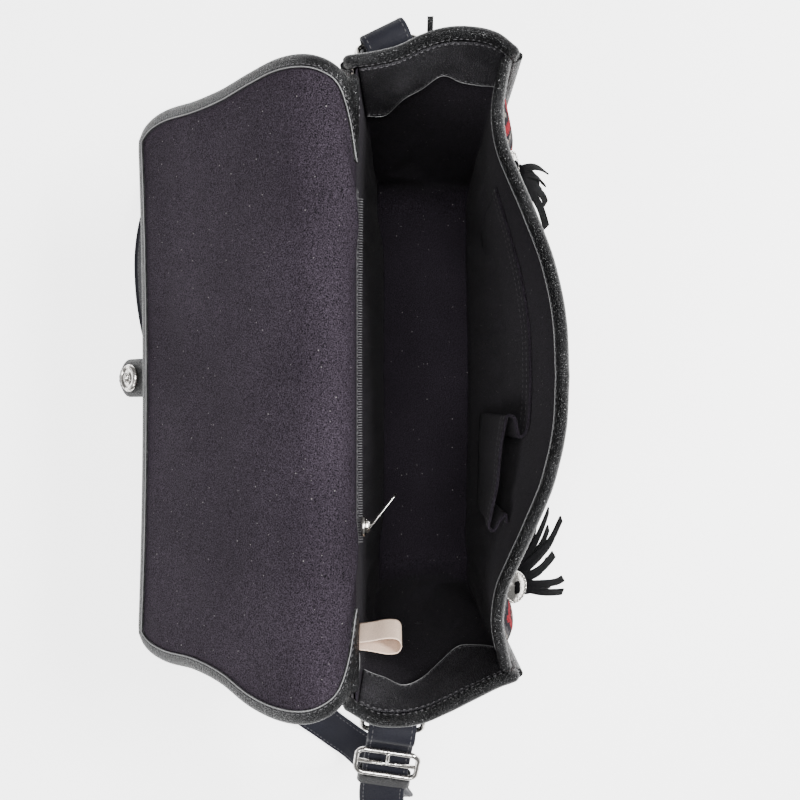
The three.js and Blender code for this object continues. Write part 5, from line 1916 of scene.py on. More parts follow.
@dataclass
class Zip:
    """The closed zip of the back pocket."""

    length: float = 198.0
    middle: float = 4.0
    tape: float = 22.0
    below: float = 4.0
    tooth_pitch: float = 1.5

    def seat(self, x: float, z: float, stand: float) -> Point:
        """Point that stands off the lining of the back wall."""
        return Vector((x, SHAPE.back_y(x, z, 3.3) - 0.3 - stand, z))

    def teeth(self, material: bpy.types.Material) -> bpy.types.NodeTree:
        """Geometry tree that lays a coil's loop at every pitch, with the inputs Pitch and Size."""
        tree = bpy.data.node_groups.new("zip_coil_loops", "GeometryNodeTree")
        tree.interface.new_socket("Geometry", in_out="INPUT", socket_type="NodeSocketGeometry")
        tree.interface.new_socket("Pitch", in_out="INPUT", socket_type=FLOAT)
        tree.interface.new_socket("Size", in_out="INPUT", socket_type=FLOAT)
        tree.interface.new_socket("Geometry", in_out="OUTPUT", socket_type="NodeSocketGeometry")
        n = Nodes(tree)
        source = n.add("NodeGroupInput")
        spots = n.add(
            "GeometryNodeCurveToPoints",
            {"Curve": source.outputs[0], "Length": source.outputs["Pitch"]},
            mode="LENGTH",
        )
        turned = n.add("FunctionNodeAlignRotationToVector", {"Vector": spots.outputs["Tangent"]}, axis="Y")
        loop = n.add("GeometryNodeCurvePrimitiveCircle", {"Resolution": 10, "Radius": 0.5})
        wire = n.add("GeometryNodeCurvePrimitiveCircle", {"Resolution": 5, "Radius": 0.11})
        tooth = n.add("GeometryNodeCurveToMesh", {"Curve": loop.outputs[0], "Profile Curve": wire.outputs[0]})
        upright = n.add(
            "GeometryNodeTransform", {"Geometry": tooth.outputs[0], "Rotation": (math.pi / 2, 0.0, 0.0)}
        )
        size = n.add("ShaderNodeVectorMath", {0: (1.0, 1.0, 0.45)}, operation="SCALE")
        tree.links.new(source.outputs["Size"], size.inputs["Scale"])
        laid = n.add(
            "GeometryNodeInstanceOnPoints",
            {
                "Points": spots.outputs["Points"],
                "Instance": upright.outputs[0],
                "Rotation": turned.outputs[0],
                "Scale": size.outputs[0],
            },
        )
        real = n.add("GeometryNodeRealizeInstances", {0: laid.outputs[0]})
        painted = n.add("GeometryNodeSetMaterial", {"Geometry": real.outputs[0], "Material": material})
        out = n.add("NodeGroupOutput")
        tree.links.new(painted.outputs[0], out.inputs[0])
        return tree

    def make(self, dresser: Dresser, stitching: Stitching) -> None:
        """Make the tape, the coil, the slider and its pull."""
        top = SHAPE.back_top - self.below
        half = self.length / 2 + 4
        rows = []
        for down in shares(14):
            z = top - down * self.tape
            rows.append(
                [
                    self.seat(
                        self.middle + lerp(-half, half, s), z, 0.15 + 0.5 * math.sin(math.pi * down)
                    ) for s in shares(90)
                ]
            )
        rows.reverse()
        dresser.place("zip_band", grid_mesh("zip_band", rows, 0.5), Finish.ZIP, "zip_tape")
        for z in (top - 2, top - self.tape + 2):
            stitching.sew([self.seat(self.middle + lerp(-half + 2, half - 2, s), z, 0.6) for s in shares(40)])
        centre = top - self.tape / 2
        curve = bpy.data.curves.new("zip_line", "CURVE")
        curve.dimensions = "3D"
        line = [self.seat(self.middle + lerp(-0.5, 0.5, s) * self.length, centre, 1.3) for s in shares(80)]
        spline = curve.splines.new("POLY")
        spline.points.add(len(line) - 1)
        for place, point in zip(spline.points, line):
            place.co = (*(point * MM), 1.0)
        values = {"Pitch": self.tooth_pitch * MM, "Size": 3.8 * MM}
        coil = grow(curve, self.teeth(dresser.materials[Finish.THREAD]), values, "zip_loops")
        dresser.place("zip_loops", coil, Finish.THREAD, "zip_coil")

        x = self.middle - self.length / 2 + 9
        body_y = self.seat(x, centre, 0.6 + 1.6 + 0.3 + 1.2).y
        body = [(-5.5, -2.6), (-2, -3.2), (5.5, -4.2), (6, 0), (5.5, 4.2), (-2, 3.2), (-5.5, 2.6)]
        slider = plate_mesh(
            "slider", body, 2.6, Vector((x, body_y, centre)), Vector((1, 0, 0)), Vector((0, 0, 1)), 0.6
        )
        bail = [(-3.6, 0), (3.6, 0), (3.6, 1.8), (2.2, 3.2), (-2.2, 3.2), (-3.6, 1.8)]
        bridge = plate_mesh(
            "bridge", bail, 2.2, Vector((x, body_y - 1, centre)), Vector((1, 0, 0)), Vector((0, -1, 0)), 0.5
        )
        dresser.place("zip_runner", join_meshes("zip_runner", [slider, bridge]), Finish.METAL, "zip_slider")
        pivot = Vector((x - 1, body_y - 3.4, centre))
        swing = math.radians(38)
        way, rise = Vector((math.cos(swing), -math.sin(swing), 0)), Vector((0, 0, 1))
        wire = wire_mesh("pull", rounded_outline(26, 7, 3.2), 1.7, pivot + way * 11.5, way, rise, 0.86)
        tongue = plate_mesh("tongue", rounded_outline(9, 4.6, 2), 1.4, pivot + way * 18.5, way, rise, 0.4)
        dresser.place("zip_puller", join_meshes("zip_puller", [wire, tongue]), Finish.METAL, "zip_pull")


def rounded_outline(width: float, height: float, radius: float, steps: int = 7) -> list[tuple[float, float]]:
    """Outline of a rectangle with rounded corners, anticlockwise."""
    corners = ((1, -1, -90), (1, 1, 0), (-1, 1, 90), (-1, -1, 180))
    outline = []
    for a, u, start in corners:
        for s in shares(steps):
            turn = math.radians(start + 90 * s)
            outline.append(
                (
                    a * (width / 2 - radius) + radius * math.cos(turn),
                    u * (height / 2 - radius) + radius * math.sin(turn),
                )
            )
    return outline


def plate_mesh(
    name: str, outline: Section, thick: float, at: Point, across: Point, up: Point, soft: float = 0.4
) -> bpy.types.Mesh:
    """Make a flat piece with softened edges.

    Args:
        name: Name of the mesh.
        outline: Corners in its own plane, anticlockwise.
        thick: Thickness, to both sides of its middle.
        at: Its middle.
        across: Way of its first axis.
        up: Way of its second axis.
        soft: Width of the softened edge.

    Returns:
        The mesh.
    """
    out = across.cross(up).normalized()
    middle = Vector((sum(a for a, _ in outline) / len(outline), sum(u for _, u in outline) / len(outline)))
    made = bmesh.new()
    loops = []
    for lift, shrink in (
        (-thick / 2, soft), (-thick / 2 + soft, 0.0), (thick / 2 - soft, 0.0), (thick / 2, soft)
    ):
        loop = []
        for a, u in outline:
            inward = middle - Vector((a, u))
            size = inward.length
            a2, u2 = (Vector((a, u)) + inward * (min(shrink, size * 0.5) / max(size, 1e-6)))[:]
            loop.append(made.verts.new((at + across * a2 + up * u2 + out * lift) * MM))
        loops.append(loop)
    count = len(outline)
    for low, high in zip(loops, loops[1:]):
        for i in range(count):
            n = (i + 1) % count
            made.faces.new((low[i], low[n], high[n], high[i]))
    made.faces.new(list(reversed(loops[0])))
    made.faces.new(loops[-1])
    bmesh.ops.recalc_face_normals(made, faces=made.faces)
    mesh = bpy.data.meshes.new(name)
    made.to_mesh(mesh)
    made.free()
    mesh.shade_smooth()
    return mesh


def wire_mesh(
    name: str, outline: Section, wire: float, at: Point, across: Point, up: Point, flat: float = 1.0
) -> bpy.types.Mesh:
    """Make a wire bent round an outline in its own plane.

    Args:
        name: Name of the mesh.
        outline: Corners of its middle line, anticlockwise.
        wire: Thickness.
        at: Middle of the outline.
        across: Way of its first axis.
        up: Way of its second axis.
        flat: Share of the thickness that it has out of its plane.

    Returns:
        The mesh.
    """
    out = across.cross(up).normalized()
    spots = [at + across * a + up * u for a, u in outline]
    stations = []
    for i, spot in enumerate(spots):
        along = (spots[(i + 1) % len(spots)] - spots[i - 1]).normalized()
        stations.append(Station(spot, along.cross(out), out))
    section = [(a, u * flat) for a, u in round_section(wire)]
    return sweep_mesh(name, stations, section, closed=True)


def glide(spots: Sequence[Point], count: int) -> list[Point]:
    """Evenly numbered points on a smooth curve through spots.

    Args:
        spots: Points that it runs through.
        count: Number of spans.

    Returns:
        The points.
    """
    ends = [spots[0] * 2 - spots[1], *spots, spots[-1] * 2 - spots[-2]]
    line = []
    for s in shares(count):
        place = min(s * (len(spots) - 1), len(spots) - 1 - 1e-6)
        i = int(place)
        a, b, c, d = ends[i : i + 4]
        first = max((b - a).length, 1e-6) ** 0.5
        second = first + max((c - b).length, 1e-6) ** 0.5
        third = second + max((d - c).length, 1e-6) ** 0.5
        t = lerp(first, second, place - i)
        ab, bc, cd = a.lerp(b, t / first), b.lerp(c, (t - first) / (second - first)), c.lerp(
            d, (t - second) / (third - second)
        )
        abc = ab.lerp(bc, t / second)
        bcd = bc.lerp(cd, (t - first) / (third - first))
        line.append(abc.lerp(bcd, (t - first) / (second - first)))
    return line


@dataclass
class SlipPocket:
    """The open pocket inside the front wall, whose mouth stands off in a pleat."""

    drop: float = 48.0
    depth: float = 112.0
    pleat: float = 17.0
    wall: float = 1.0

    def make(self, dresser: Dresser, stitching: Stitching) -> None:
        """Make the pocket's cloth, its hem and its sewing."""
        mouth = glide([Vector((along * SHAPE.base_half, stand, 0)) for along, stand in POCKET_MOUTH], 170)
        rows = []
        for down in shares(40):
            flat = 1 - 0.55 * down
            row = []
            for spot in mouth:
                low = SHAPE.hinge_drop * GUSSET_RIM.at("drop", abs(spot.x) / SHAPE.base_half) * 0.6
                z = SHAPE.panel_top - self.drop - low - down * self.depth
                off = 1.0 + max(spot.y - 0.05, 0.0) * self.pleat * flat
                hang = 1.1 * (
                    0.5 + 0.5 * ripple(spot.x, z, 4.0, 26)
                ) * smooth(down * 6) * smooth((1 - down) * 5)
                row.append(Vector((spot.x, SHAPE.front_y(spot.x, z, 3.3) + off + hang, z)))
            rows.append(row)
        rows.reverse()
        # The pocket takes the darker twill copy: painted shade inside the bag.
        dresser.place("phone_sleeve", grid_mesh("phone_sleeve", rows, self.wall), Finish.SHADED_INNER, "slip_pocket")
        hem = []
        for i, at in enumerate(rows[-1]):
            along = (rows[-1][min(i + 1, len(rows[-1]) - 1)] - rows[-1][max(i - 1, 0)]).normalized()
            hem.append(
                Station(
                    at + Vector((0, 0, 0.2)), along.cross(Vector((0, 0, 1))).normalized(), Vector((0, 0, 1))
                )
            )
        dresser.place("sleeve_hem", sweep_mesh("sleeve_hem", hem, strip_section(1.9, 1.6, 0.4)), Finish.SHADED_INNER)
        for row in (rows[-4], rows[-7]):
            normals = grid_normals([rows[0], row], False)
            stitching.sew([p - n * 0.12 for p, n in zip(row, normals[len(row) :])])


@dataclass
class CareLabel:
    """The blank label sewn in a loop beside the zip."""

    x: float = -149.0
    width: float = 22.0
    length: float = 24.5
    stand: float = 4.8
    turn: float = 75.0

    def make(self, dresser: Dresser) -> None:
        """Make the loop of satin ribbon."""
        z = SHAPE.back_top - 13
        y = SHAPE.back_y(self.x, z, 3.3) - 0.6
        half = [(0, 0.4), (0.3, 0.62), (0.7, 1), (0.92, 0.8)]
        profile = [*half, (1, 0), *[(out, -up) for out, up in reversed(half)]]
        lean = math.radians(self.turn)
        turns = glide([Vector((0, y - out * self.length, z + up * self.stand)) for out, up in profile], 60)
        rows = []
        for at in turns:
            row = []
            for s in shares(16):
                bend = 0.5 * math.sin(math.pi * s) + 0.3 * ripple(s * 18, at.y, at.z, 9)
                along = lerp(-0.5, 0.5, s) * self.width
                x = self.x + along * math.cos(lean) + (at.z - z) * math.sin(lean)
                row.append(Vector((x, at.y, z + (at.z - z) * math.cos(lean) - along * math.sin(lean) + bend)))
            rows.append(row)
        mesh = grid_mesh("blank_label", rows, 0.3)
        outward(mesh)
        piece = dresser.place("blank_label", mesh, Finish.LABEL, "care_label")


@dataclass
class Closure:
    """The magnet tab under the flap's tip and its stud on the front."""

    middle: float = 2.0
    width: float = 26.0
    wall: float = 2.4
    reach: float = 38.0
    slope: float = 41.0
    disc: float = 9.5
    stud_height: float = 148.0

    def make(self, dresser: Dresser, stitching: Stitching) -> None:
        """Make the tab, its socket and the stud."""

        def spot(along: float, off: float) -> Point:
            """Point under the flap's tip, off its face."""
            across = (self.middle - FLAP.shift) / (FLAP.half * 0.96)
            at = FLAP.at(across, along)
            way = (FLAP.at(across, along + 1e-3) - at).normalized()
            return Vector((self.middle, at.y, at.z)) + Vector((0, -way.z, way.y)) * off

        under = -(3.1 + SHAPE.gap + self.wall / 2)
        sewn = [
            spot(along, under + off) for off, along in (
                (0, 0.86), (0, 0.9), (-1.6, 0.94), (-1.6, 0.97), (-1.6, 1)
            )
        ]
        turn = math.radians(self.slope)
        way = Vector((0, math.cos(turn), -math.sin(turn)))
        facing = Vector((0, math.sin(turn), math.cos(turn)))
        end = sewn[-1]
        line = glide([*sewn, *[end + way * (self.reach * s) for s in shares(4)[1:]]], 70)
        start = line.index(min(line, key=lambda p: (p - end).length))
        past = running(line[start:])
        rows = []
        for i, at in enumerate(line):
            over = past[i - start] - (self.reach - self.width / 2) if i > start else -1
            half = self.width / 2 * math.sqrt(max(1 - clamp(over / (self.width / 2), 0, 0.985) ** 2, 0.0))
            along = (line[min(i + 1, len(line) - 1)] - line[max(i - 1, 0)]).normalized()
            up = Vector((1, 0, 0)).cross(along).normalized()
            row = []
            for s in shares(16):
                puff = self.wall / 2 * (1 - abs(2 * s - 1) ** 6 * 0.55)
                row.append(at + Vector((lerp(-half, half, s), 0, 0)) + up * puff)
            rows.append(row)
        mesh = grid_mesh("magnet_tab", rows, self.wall * 0.92)
        outward(mesh)
        dresser.place("magnet_tab", mesh, Finish.LEATHER, "closure_tab")
        edge = [row[1].lerp(row[2], 0.5) for row in rows[start:]] + [
            row[-2].lerp(row[-3], 0.5) for row in reversed(rows[start:])
        ]
        stitching.sew(edge)

        magnet = end + way * (self.reach - self.width / 2 - 1) + facing * (self.wall / 2 + 0.1)
        cup = [
            (0, 0),
            (9.3, 0),
            (9.5, 0.5),
            (9.4, 1.4),
            (8.7, 2.2),
            (7.9, 2.6),
            (7.3, 2.4),
            (7.1, 1.9),
            (3.4, 1.9),
            (3.2, 2.3),
        ]
        cup += [(2.8, 2.4), (2.5, 2.1), (2.4, 0.9), (0, 0.9)]
        dresser.place(
            "magnet_cup", lathe_mesh("magnet_cup", cup, magnet, facing), Finish.METAL, "magnet_socket"
        )
        y = SHAPE.front_y(self.middle, self.stud_height, 0.0) - 0.2
        stud = [
            (0, 0),
            (9.5, 0),
            (9.5, 0.9),
            (8.9, 1.7),
            (7.6, 2.1),
            (2.6, 2.1),
            (2.3, 2.5),
            (2.2, 3.4),
            (1.7, 3.9),
            (0, 4),
        ]
        at = Vector((self.middle, y, self.stud_height))
        dresser.place(
            "front_stud", lathe_mesh("front_stud", stud, at, Vector((0, -1, 0))), Finish.METAL, "snap_stud"
        )


@dataclass
class Tassels:
    """Domed discs on the front with tassels of leather strips."""

    middle: float = 122.0
    height: float = 214.0
    disc: float = 9.5
    strips: int = 20
    length: float = 88.0
    seed: int = 11
    spread: dict[Side, float] = field(default_factory=lambda: {Side.RIGHT: 0.78, Side.LEFT: 1.04})

    def disc_mesh(self, seat: Point, axis: Point) -> bpy.types.Mesh:
        """Make the domed disc with a beaded rim.

        Args:
            seat: Middle of its back.
            axis: The way that it faces.

        Returns:
            The disc.
        """
        profile = [
            (0, 0),
            (9.4, 0),
            (9.5, 0.6),
            (9.2, 1.3),
            (8.7, 1.5),
            (8.2, 1.2),
            (7.8, 1.3),
            (6.5, 2.0),
            (4.5, 2.5),
            (2.5, 2.75),
            (0, 2.8),
        ]
        dome = lathe_mesh("domed_disc", profile, seat, axis, 72)
        lean = Vector((0, 0, 1)).rotation_difference(axis)
        beads = []
        for i in range(22):
            turn = 2 * math.pi * i / 22
            at = seat + lean @ Vector((8.4 * math.cos(turn), 8.4 * math.sin(turn), 1.5))
            beads.append(
                lathe_mesh("bead", [(0, -0.7), (0.55, -0.4), (0.7, 0), (0.55, 0.4), (0, 0.7)], at, axis, 8)
            )
        return join_meshes("beaded_disc", [dome, *beads])

    def strip(
        self, root: Point, fan: float, out: float, reach: float, chance: random.Random
    ) -> bpy.types.Mesh:
        """Make one curling strip of leather.

        Args:
            root: Its upper end.
            fan: How far it swings to the side, as a share of its length.
            out: How far it swings forwards.
            reach: How far it falls.
            chance: Source of its waves.

        Returns:
            The strip.
        """
        waves = [
            chance.uniform(0.5, 1.2),
            chance.uniform(0, 6.3),
            chance.uniform(0.5, 1.6),
            chance.uniform(-40, 40),
        ]
        spots = []
        widths = []
        for s in shares(34):
            wave = math.sin(s * 6.2 * waves[0] + waves[1]) * waves[2] * s
            spots.append(
                root
                + Vector(
                    (
                        fan * self.length * s**0.9 + fan * 9 + wave,
                        -out * self.length * s**0.8 * 0.78 - abs(wave) * 0.3,
                        -reach * self.length * s**1.35,
                    )
                )
            )
        for i in range(len(spots)):
            along = (spots[min(i + 1, len(spots) - 1)] - spots[max(i - 1, 0)]).normalized()
            level = Vector((abs(along.y), -along.x * math.copysign(1, along.y), 0)).normalized()
            turn = math.radians(waves[3] * i / len(spots) + chance.uniform(-1, 1))
            flat = (Vector((1, 0, 0)) * 0.7 + level).normalized()
            widths.append(flat * math.cos(turn) + along.cross(flat) * math.sin(turn))
        width = chance.uniform(4.4, 5.8)
        return sweep_mesh("strip", strip_stations(spots, widths), strip_section(width, 1.3, 0.35))

    def make(self, dresser: Dresser) -> None:
        """Make both discs and tassels."""
        chance = random.Random(self.seed)
        for side in Side:
            x = side.value * self.middle
            y = SHAPE.front_y(x, self.height, 0.0) - 0.6
            tilt = math.radians(52 if side is Side.LEFT else 26)
            axis = Vector((0, -math.cos(tilt), math.sin(tilt)))
            seat = Vector(
                (x, y - self.disc * math.sin(tilt), self.height - self.disc * (1 - math.cos(tilt)) + 2)
            )
            dome = self.disc_mesh(seat, axis)
            dresser.place(f"{side.word}_disc", dome, Finish.METAL, f"concho_{side.word}")
            tip = Vector((0, -axis.z, axis.y)) * -1
            lace = [
                seat + axis * (
                    3.1 if abs(a) < 3 else 1.2
                ) + Vector((a, 0, 0)) for a in (-3.6, -2.6, 0, 2.6, 3.6)
            ]
            knot = sweep_mesh("knot", strip_stations(glide(lace, 12), [tip] * 13), strip_section(3.2, 1.2))
            hang = [Vector((x, y - 2.2, self.height - d)) for d in (0, 5)] + [
                Vector((x, y - 4.5, self.height - 10)), Vector((x, y - 7.2, self.height - 13))
            ]
            cord = sweep_mesh(
                "cord", strip_stations(glide(hang, 14), [Vector((1, 0, 0))] * 15), strip_section(3.4, 1.6)
            )
            head_top = self.height - self.disc - 0.3
            profile = [(0, 0)]
            for i in range(13):
                profile.append((5.9 + 0.35 * math.cos(i * math.pi), 0.4 + i * 1.18))
            profile.append((4.6, 15.2))
            profile.append((0, 15.4))
            head = lathe_mesh("head", profile, Vector((x, y - 7.2, head_top - 15)), Vector((0, 0, 1)), 32)
            root = Vector((x, y - 7.2, head_top - 12))
            made = []
            for i in range(self.strips):
                share = (i + 0.5) / self.strips
                fan = side.value * lerp(-0.4, 0.27, share) + chance.uniform(-0.04, 0.04)
                out = (0.2, 0.52, 0.36, 0.62)[i % 4] * self.spread[side] + chance.uniform(-0.05, 0.05)
                made.append(self.strip(root, fan, out, chance.uniform(0.8, 1.02), chance))
            whole = join_meshes(f"{side.word}_fringe", [head, knot, cord, *made])
            dresser.place(f"{side.word}_fringe", whole, Finish.TASSEL, f"tassel_{side.word}")


@dataclass
class Mount:
    """Where one end's strap tab sits, with the bars of its ring."""

    side: Side
    tab_width: float = 29.0
    tab_length: float = 40.0
    y: float = 27.0
    top: float = 213.0
    ring_reach: float = 18.0
    ring_lean: float = 35.0

    def __post_init__(self) -> None:
        """Find the seat and the directions on the end wall."""
        side = self.side.value

        def on_wall(y: float, z: float) -> Point:
            """Point of the end wall's outer face."""
            depth = SHAPE.front_seam + lerp(SHAPE.back_seam_base, SHAPE.back_seam_rim, SHAPE.rise(z))
            return SHAPE.gusset_point(side, (depth - SHAPE.front_seam - y) / depth, z, 0, 0)

        half = self.tab_width / 2
        foot = self.top - self.tab_length
        self.along = (on_wall(self.y + half, foot + 10) - on_wall(self.y - half, foot + 10)).normalized()
        self.rise = (on_wall(self.y, self.top - 2) - on_wall(self.y, foot)).normalized()
        self.out = self.along.cross(self.rise).normalized()
        if self.out.x * side < 0:
            self.out.negate()
        seat = on_wall(self.y, self.top)
        spots = [
            on_wall(
                self.y + lerp(-half, half, s), foot + self.tab_length * t
            ) for s in shares(6) for t in shares(6)
        ]
        self.seat = seat + self.out * (max((p - seat).dot(self.out) for p in spots) + SHAPE.gap)
        self.bar1 = self.seat + self.out * 4.4
        level = Vector(
            (side * abs(self.along.y), -side * self.along.x * math.copysign(1, self.along.y), 0)
        ).normalized()
        lean = math.radians(self.ring_lean)
        self.ring_way = level * math.cos(lean) + Vector((0, 0, -math.sin(lean)))
        self.bar2 = self.bar1 + self.ring_way * self.ring_reach
        self.along *= math.copysign(1, self.along.y)
        skew = math.radians(15 if side > 0 else -6)
        tilt = math.radians(20 if side > 0 else 62)
        self.strap_along = (
            Matrix.Rotation(skew, 3, "Z") @ Vector((self.along.x, self.along.y, 0))
        ).normalized()
        way = Vector(
            (
                side * abs(self.strap_along.y),
                -side * self.strap_along.x * math.copysign(1, self.strap_along.y),
                0,
            )
        )
        self.strap_face = way * math.cos(tilt) + Vector((0, 0, math.sin(tilt)))
        self.strap_down = way * math.sin(tilt) + Vector((0, 0, -math.cos(tilt)))


def fold_path(radius: float, ply: float, length: float) -> list[tuple[float, float]]:
    """Path of a strap folded over a bar, as (out, up) from the bar's middle."""
    turn = []
    for s in shares(12):
        angle = math.radians(190 - 200 * s)
        turn.append((radius * math.cos(angle), radius * math.sin(angle)))
    down = [(-ply, -length), (-ply, -length * 0.55), (-ply * 1.15, -radius - 3)]
    up = [(ply * 1.15, -radius - 3), (ply, -length * 0.55), (ply, -length)]
    return [*down, *turn, *up]


@dataclass
class StrapWork:
    """The strap with its tabs, rings, buckle and keeper."""

    wire: float = 3.0
    tab_wall: float = 2.0
    width: float = 28.0
    wall: float = 2.6
    fold: float = 50.0
    loop: float = 7.4
    tail: float = 42.0
    tail_swing: float = 16.0
    buckle_height: float = 20.0
    buckle_below: float = 24.0
    keeper_height: float = 7.0
    keeper_below: float = 41.0

    def tab_and_ring(self, mount: Mount, dresser: Dresser, stitching: Stitching) -> None:
        """Make one end's folded tab and its ring."""
        radius = self.wire / 2 + SHAPE.gap + self.tab_wall / 2
        ply = (self.tab_wall + SHAPE.gap) / 2
        middle = mount.seat + mount.out * (self.tab_wall / 2 + ply)
        offset = (mount.bar1 - middle).dot(mount.out)
        spots = []
        for out, up in fold_path(radius, ply, mount.tab_length):
            shift = offset if up > -radius - 2 else 0.0
            spots.append(middle + mount.out * (out + shift) + mount.rise * up)
        line = glide(spots, 70)
        stations = strip_stations(line, [mount.along] * len(line))
        word = mount.side.word
        mesh = sweep_mesh(f"{word}_tab", stations, strip_section(mount.tab_width, self.tab_wall, 0.3))
        dresser.place(f"{word}_tab", mesh, Finish.LEATHER, f"strap_tab_{word}")
        self.edge_stitch(stations[44:], mount.tab_width, self.tab_wall, mount.out, stitching)
        outline = rounded_outline(mount.tab_width + self.wire + 4, mount.ring_reach, 4.5)
        middle = mount.bar1.lerp(mount.bar2, 0.5)
        ring = wire_mesh(f"{word}_ring", outline, self.wire, middle, mount.along, mount.ring_way)
        dresser.place(f"{word}_ring", ring, Finish.METAL, f"strap_ring_{word}")

    def edge_stitch(
        self,
        stations: Sequence[Station],
        width: float,
        wall: float,
        facing: Point | None,
        stitching: Stitching,
    ) -> None:
        """Sew along both edges of a strip, on one face or on both where facing is None."""
        for way in (-1, 1):
            for face in (-1, 1):
                line = [
                    s.at + s.across * (way * (width / 2 - 2.6)) + s.up * (
                        face * (wall / 2 + 0.03)
                    ) for s in stations
                ]
                outer = facing is None or sum((p - s.at).dot(facing) for p, s in zip(line, stations)) > 0
                if outer:
                    stitching.sew([p for p in line if p.z > 0.3])

    def strap(self, right: Mount, left: Mount, dresser: Dresser, stitching: Stitching) -> None:
        """Make the strap, from its fold on the right ring to its tail by the buckle."""
        ply = (self.wall + SHAPE.gap) / 2 + 0.1

        def over(mount: Mount, corners: Sequence[tuple[float, ...]]) -> tuple[list[Point], list[Point]]:
            """Places and widths of a turn over a ring."""
            spots = []
            for out, up, *swing in corners:
                side_step = mount.strap_along * -sum(swing)
                spots.append(mount.bar2 + mount.strap_face * out - mount.strap_down * up + side_step)
            return spots, [mount.strap_along.copy() for _ in corners]

        route = [
            Vector((x * SHAPE.base_half, y * FLAP.length, z * SHAPE.height)) for x, y, z, _ in STRAP_ROUTE
        ]
        lies = glide([Vector((lie, 0, 0)) for *_, lie in STRAP_ROUTE], 44)
        middle = glide(route, 44)
        widths = []
        for lie in lies:
            turn = clamp(lie.x, 0, 2) * math.pi / 2
            flat = Vector((-math.sin(turn), math.cos(turn), 0)) if turn < math.pi / 2 else Vector(
                (-math.sin(turn), 0, -math.cos(turn))
            )
            widths.append(flat)
        tail = [(ply + 7 * s**2, -self.fold - self.tail * s, self.tail_swing * s**2) for s in shares(4)[1:]]
        turned = fold_path(self.loop, ply, self.fold)
        first, first_widths = over(right, turned)
        last, last_widths = over(left, turned + tail)
        spots = first + middle + last
        ways = first_widths + widths + last_widths
        count = 330
        line = glide(spots, count)
        fine_ways = glide(ways, count)
        stations = strip_stations(line, fine_ways)
        for station in stations:
            lowest = (abs(station.across.z) * self.width + abs(station.up.z) * self.wall) / 2 + 0.05
            station.at.z = max(station.at.z, lowest)
            fine = 0.35 * ripple(station.at.x, station.at.y, station.at.z, 40)
            station.at += station.up * fine
            station.at.z = max(station.at.z, lowest)
        mesh = sweep_mesh("long_strap", stations, strip_section(self.width, self.wall, 0.42))
        dresser.place("long_strap", mesh, Finish.STRAP, "shoulder_strap")
        self.edge_stitch(stations[2:-2], self.width, self.wall, None, stitching)

    def buckle(self, left: Mount, dresser: Dresser) -> None:
        """Make the buckle with its pin and tongue, and the keeper."""
        up = -left.strap_down
        across, out = left.strap_along, left.strap_face
        ply = (self.wall + SHAPE.gap) / 2 + 0.1
        stand = ply * 1.15 + self.wall / 2 + SHAPE.gap + self.wire / 2

        def down(below: float, off: float) -> Point:
            """Place under the ring, off the strap."""
            return left.bar2 + out * off - up * below

        width = self.width + 9
        middle = down(self.buckle_below, stand)
        frame = wire_mesh(
            "frame", rounded_outline(width, self.buckle_height, 5), self.wire, middle, across, up
        )
        ends = [middle + across * a for a in (-width / 2, width / 2)]
        bar = sweep_mesh("bar", [Station(p, out, up) for p in ends], round_section(2.4))
        prong = glide(
            [
                down(self.buckle_below, stand + 0.4),
                down(self.buckle_below - 5, stand + 1.6),
                down(self.buckle_below - 11, stand + 1.5),
            ],
            12,
        )
        tongue = sweep_mesh("tongue", [Station(p, across, out) for p in prong], round_section(2.3))
        dresser.place(
            "buckle_frame", join_meshes("buckle_frame", [frame, bar, tongue]), Finish.METAL, "strap_buckle"
        )
        clear = (ply + self.wall / 2 + SHAPE.gap * 2) * 2
        loop = rounded_outline(self.width + 3.4, clear + 1.5, 2.4)
        at = down(self.keeper_below, 0)
        stations = []
        spots = [at + across * a + out * o for a, o in loop]
        for i, spot in enumerate(spots):
            along = (spots[(i + 1) % len(spots)] - spots[i - 1]).normalized()
            stations.append(Station(spot, up, along.cross(up)))
        mesh = sweep_mesh("keeper_loop", stations, strip_section(self.keeper_height, 1.4, 0.4), closed=True)
        dresser.place("keeper_loop", mesh, Finish.LEATHER, "strap_keeper")

    def make(self, dresser: Dresser, stitching: Stitching) -> None:
        """Make all of the strap's parts."""
        right, left = Mount(Side.RIGHT), Mount(Side.LEFT)
        self.tab_and_ring(right, dresser, stitching)
        self.tab_and_ring(left, dresser, stitching)
        self.strap(right, left, dresser, stitching)
        self.buckle(left, dresser)


@dataclass
class Lace:
    """The loose end of leather lace on the right end."""

    across: float = 0.5
    width: float = 3.4
    wall: float = 1.3

    def make(self, dresser: Dresser) -> None:
        """Make the lace."""
        spots = []
        top = SHAPE.gusset_top(self.across)
        for off, below in ((1.3, 27), (1.3, 20), (1.8, 14), (3.2, 8), (5.6, 2), (8.4, -2), (11, -3)):
            seat = SHAPE.gusset_point(1, self.across, min(top - below, top), 0, 0)
            spots.append(Vector((seat.x + off, seat.y, top - below)))
        line = glide(spots, 40)
        stations = strip_stations(line, [Vector((0, 1, 0.25 * math.sin(i * 0.14))) for i in range(41)])
        mesh = sweep_mesh("lace_tip", stations, strip_section(self.width, self.wall, 0.4))
        dresser.place("lace_tip", mesh, Finish.LEATHER, "lace_end")


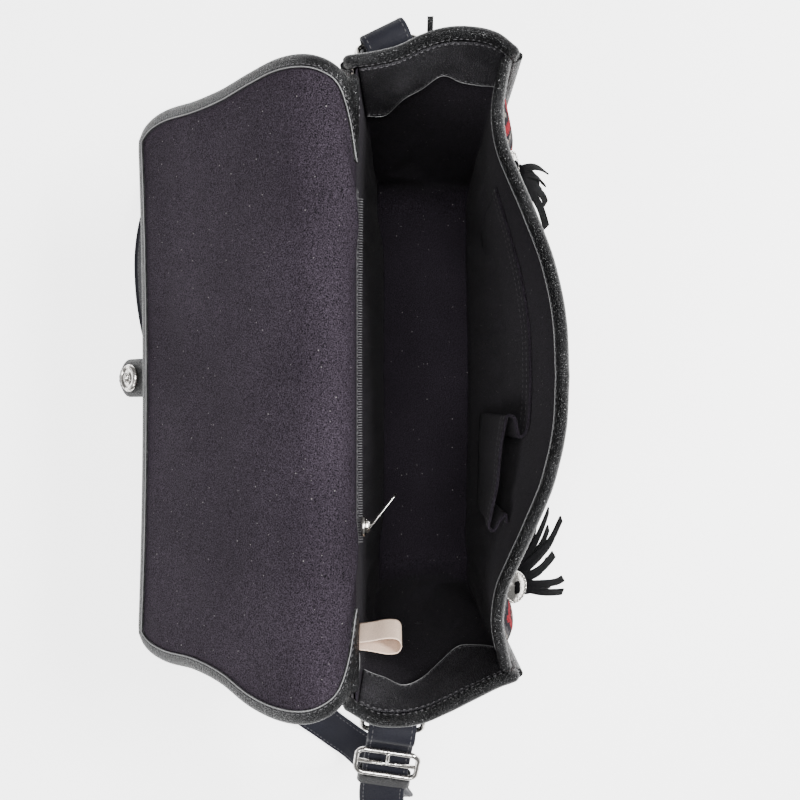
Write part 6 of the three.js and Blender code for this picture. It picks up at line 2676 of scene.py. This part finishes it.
@dataclass
class Studio:
    """Pale floor, soft light and the camera straight above the bag."""

    camera_at: tuple[float, float, float] = (-0.013, 0.026, 0.714)
    lens: float = 38.7
    shift: float = 0.00625
    floor: tuple[float, float, float] = (0.9, 0.9, 0.9)

    def light(self, name: str, at: Point, aim: Point, size: float, power: float) -> None:
        """Add a soft square light."""
        lamp = bpy.data.lights.new(name, "AREA")
        lamp.size = size
        lamp.energy = power
        piece = bpy.data.objects.new(name, lamp)
        piece.location = at
        piece.rotation_euler = (aim - at).to_track_quat("-Z", "Y").to_euler()
        bpy.context.scene.collection.objects.link(piece)

    def make(self) -> None:
        """Make the floor, the lights, the world and the camera."""
        scene = bpy.context.scene
        material, _, shader = start_material("pale_floor")
        shader.inputs["Base Color"].default_value = (*self.floor, 1.0)
        shader.inputs["Roughness"].default_value = 0.9
        shader.inputs["Emission Color"].default_value = (1.0, 1.0, 1.0, 1.0)
        shader.inputs["Emission Strength"].default_value = 2.2
        corners = [
            Vector((x, y, -0.3)) for x, y in ((-2500, -2500), (2500, -2500), (2500, 2500), (-2500, 2500))
        ]
        mesh = finish_mesh("studio_floor", corners, [(0, 1, 2, 3)])
        mesh.materials.append(material)
        floor = bpy.data.objects.new("studio_floor", mesh)
        scene.collection.objects.link(floor)

        world = bpy.data.worlds.new("soft_world")
        world.use_nodes = True
        sky = world.node_tree.nodes["Background"]
        sky.inputs[0].default_value = (1.0, 1.0, 1.0, 1.0)
        sky.inputs[1].default_value = 0.3
        scene.world = world
        aim = Vector((0.0, 0.03, 0.12))
        self.light("key", Vector((0.25, -0.95, 1.25)), aim, 0.45, 46)
        self.light("fill", Vector((-0.8, 0.7, 1.2)), aim, 0.6, 17)
        self.light("top", Vector((0.1, 0.0, 1.9)), aim, 0.8, 50)

        eye = bpy.data.cameras.new("eye")
        eye.lens = self.lens
        eye.sensor_width = 36.0
        eye.shift_x = self.shift
        camera = bpy.data.objects.new("eye", eye)
        camera.location = self.camera_at
        camera.rotation_euler = (0.0, 0.0, math.radians(-90))
        scene.collection.objects.link(camera)
        scene.camera = camera


def main() -> None:
    """Build the bag piece by piece, then the studio."""
    logging.basicConfig(level=logging.INFO, format="%(name)s: %(message)s")
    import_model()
    dresser = Dresser()
    dresser.mix_finishes()
    stitching = Stitching()
    Walls().make(dresser)
    LiningBag().make(dresser)
    Facings().make(dresser, stitching)
    Bindings().make(dresser, stitching)
    FLAP.make(dresser, stitching)
    Zip().make(dresser, stitching)
    SlipPocket().make(dresser, stitching)
    CareLabel().make(dresser)
    Closure().make(dresser, stitching)
    Tassels().make(dresser)
    StrapWork().make(dresser, stitching)
    Lace().make(dresser)
    stitching.make(dresser)
    Studio().make()
    log.info("%d pieces", dresser.pieces)


if __name__ == "__main__":
    main()
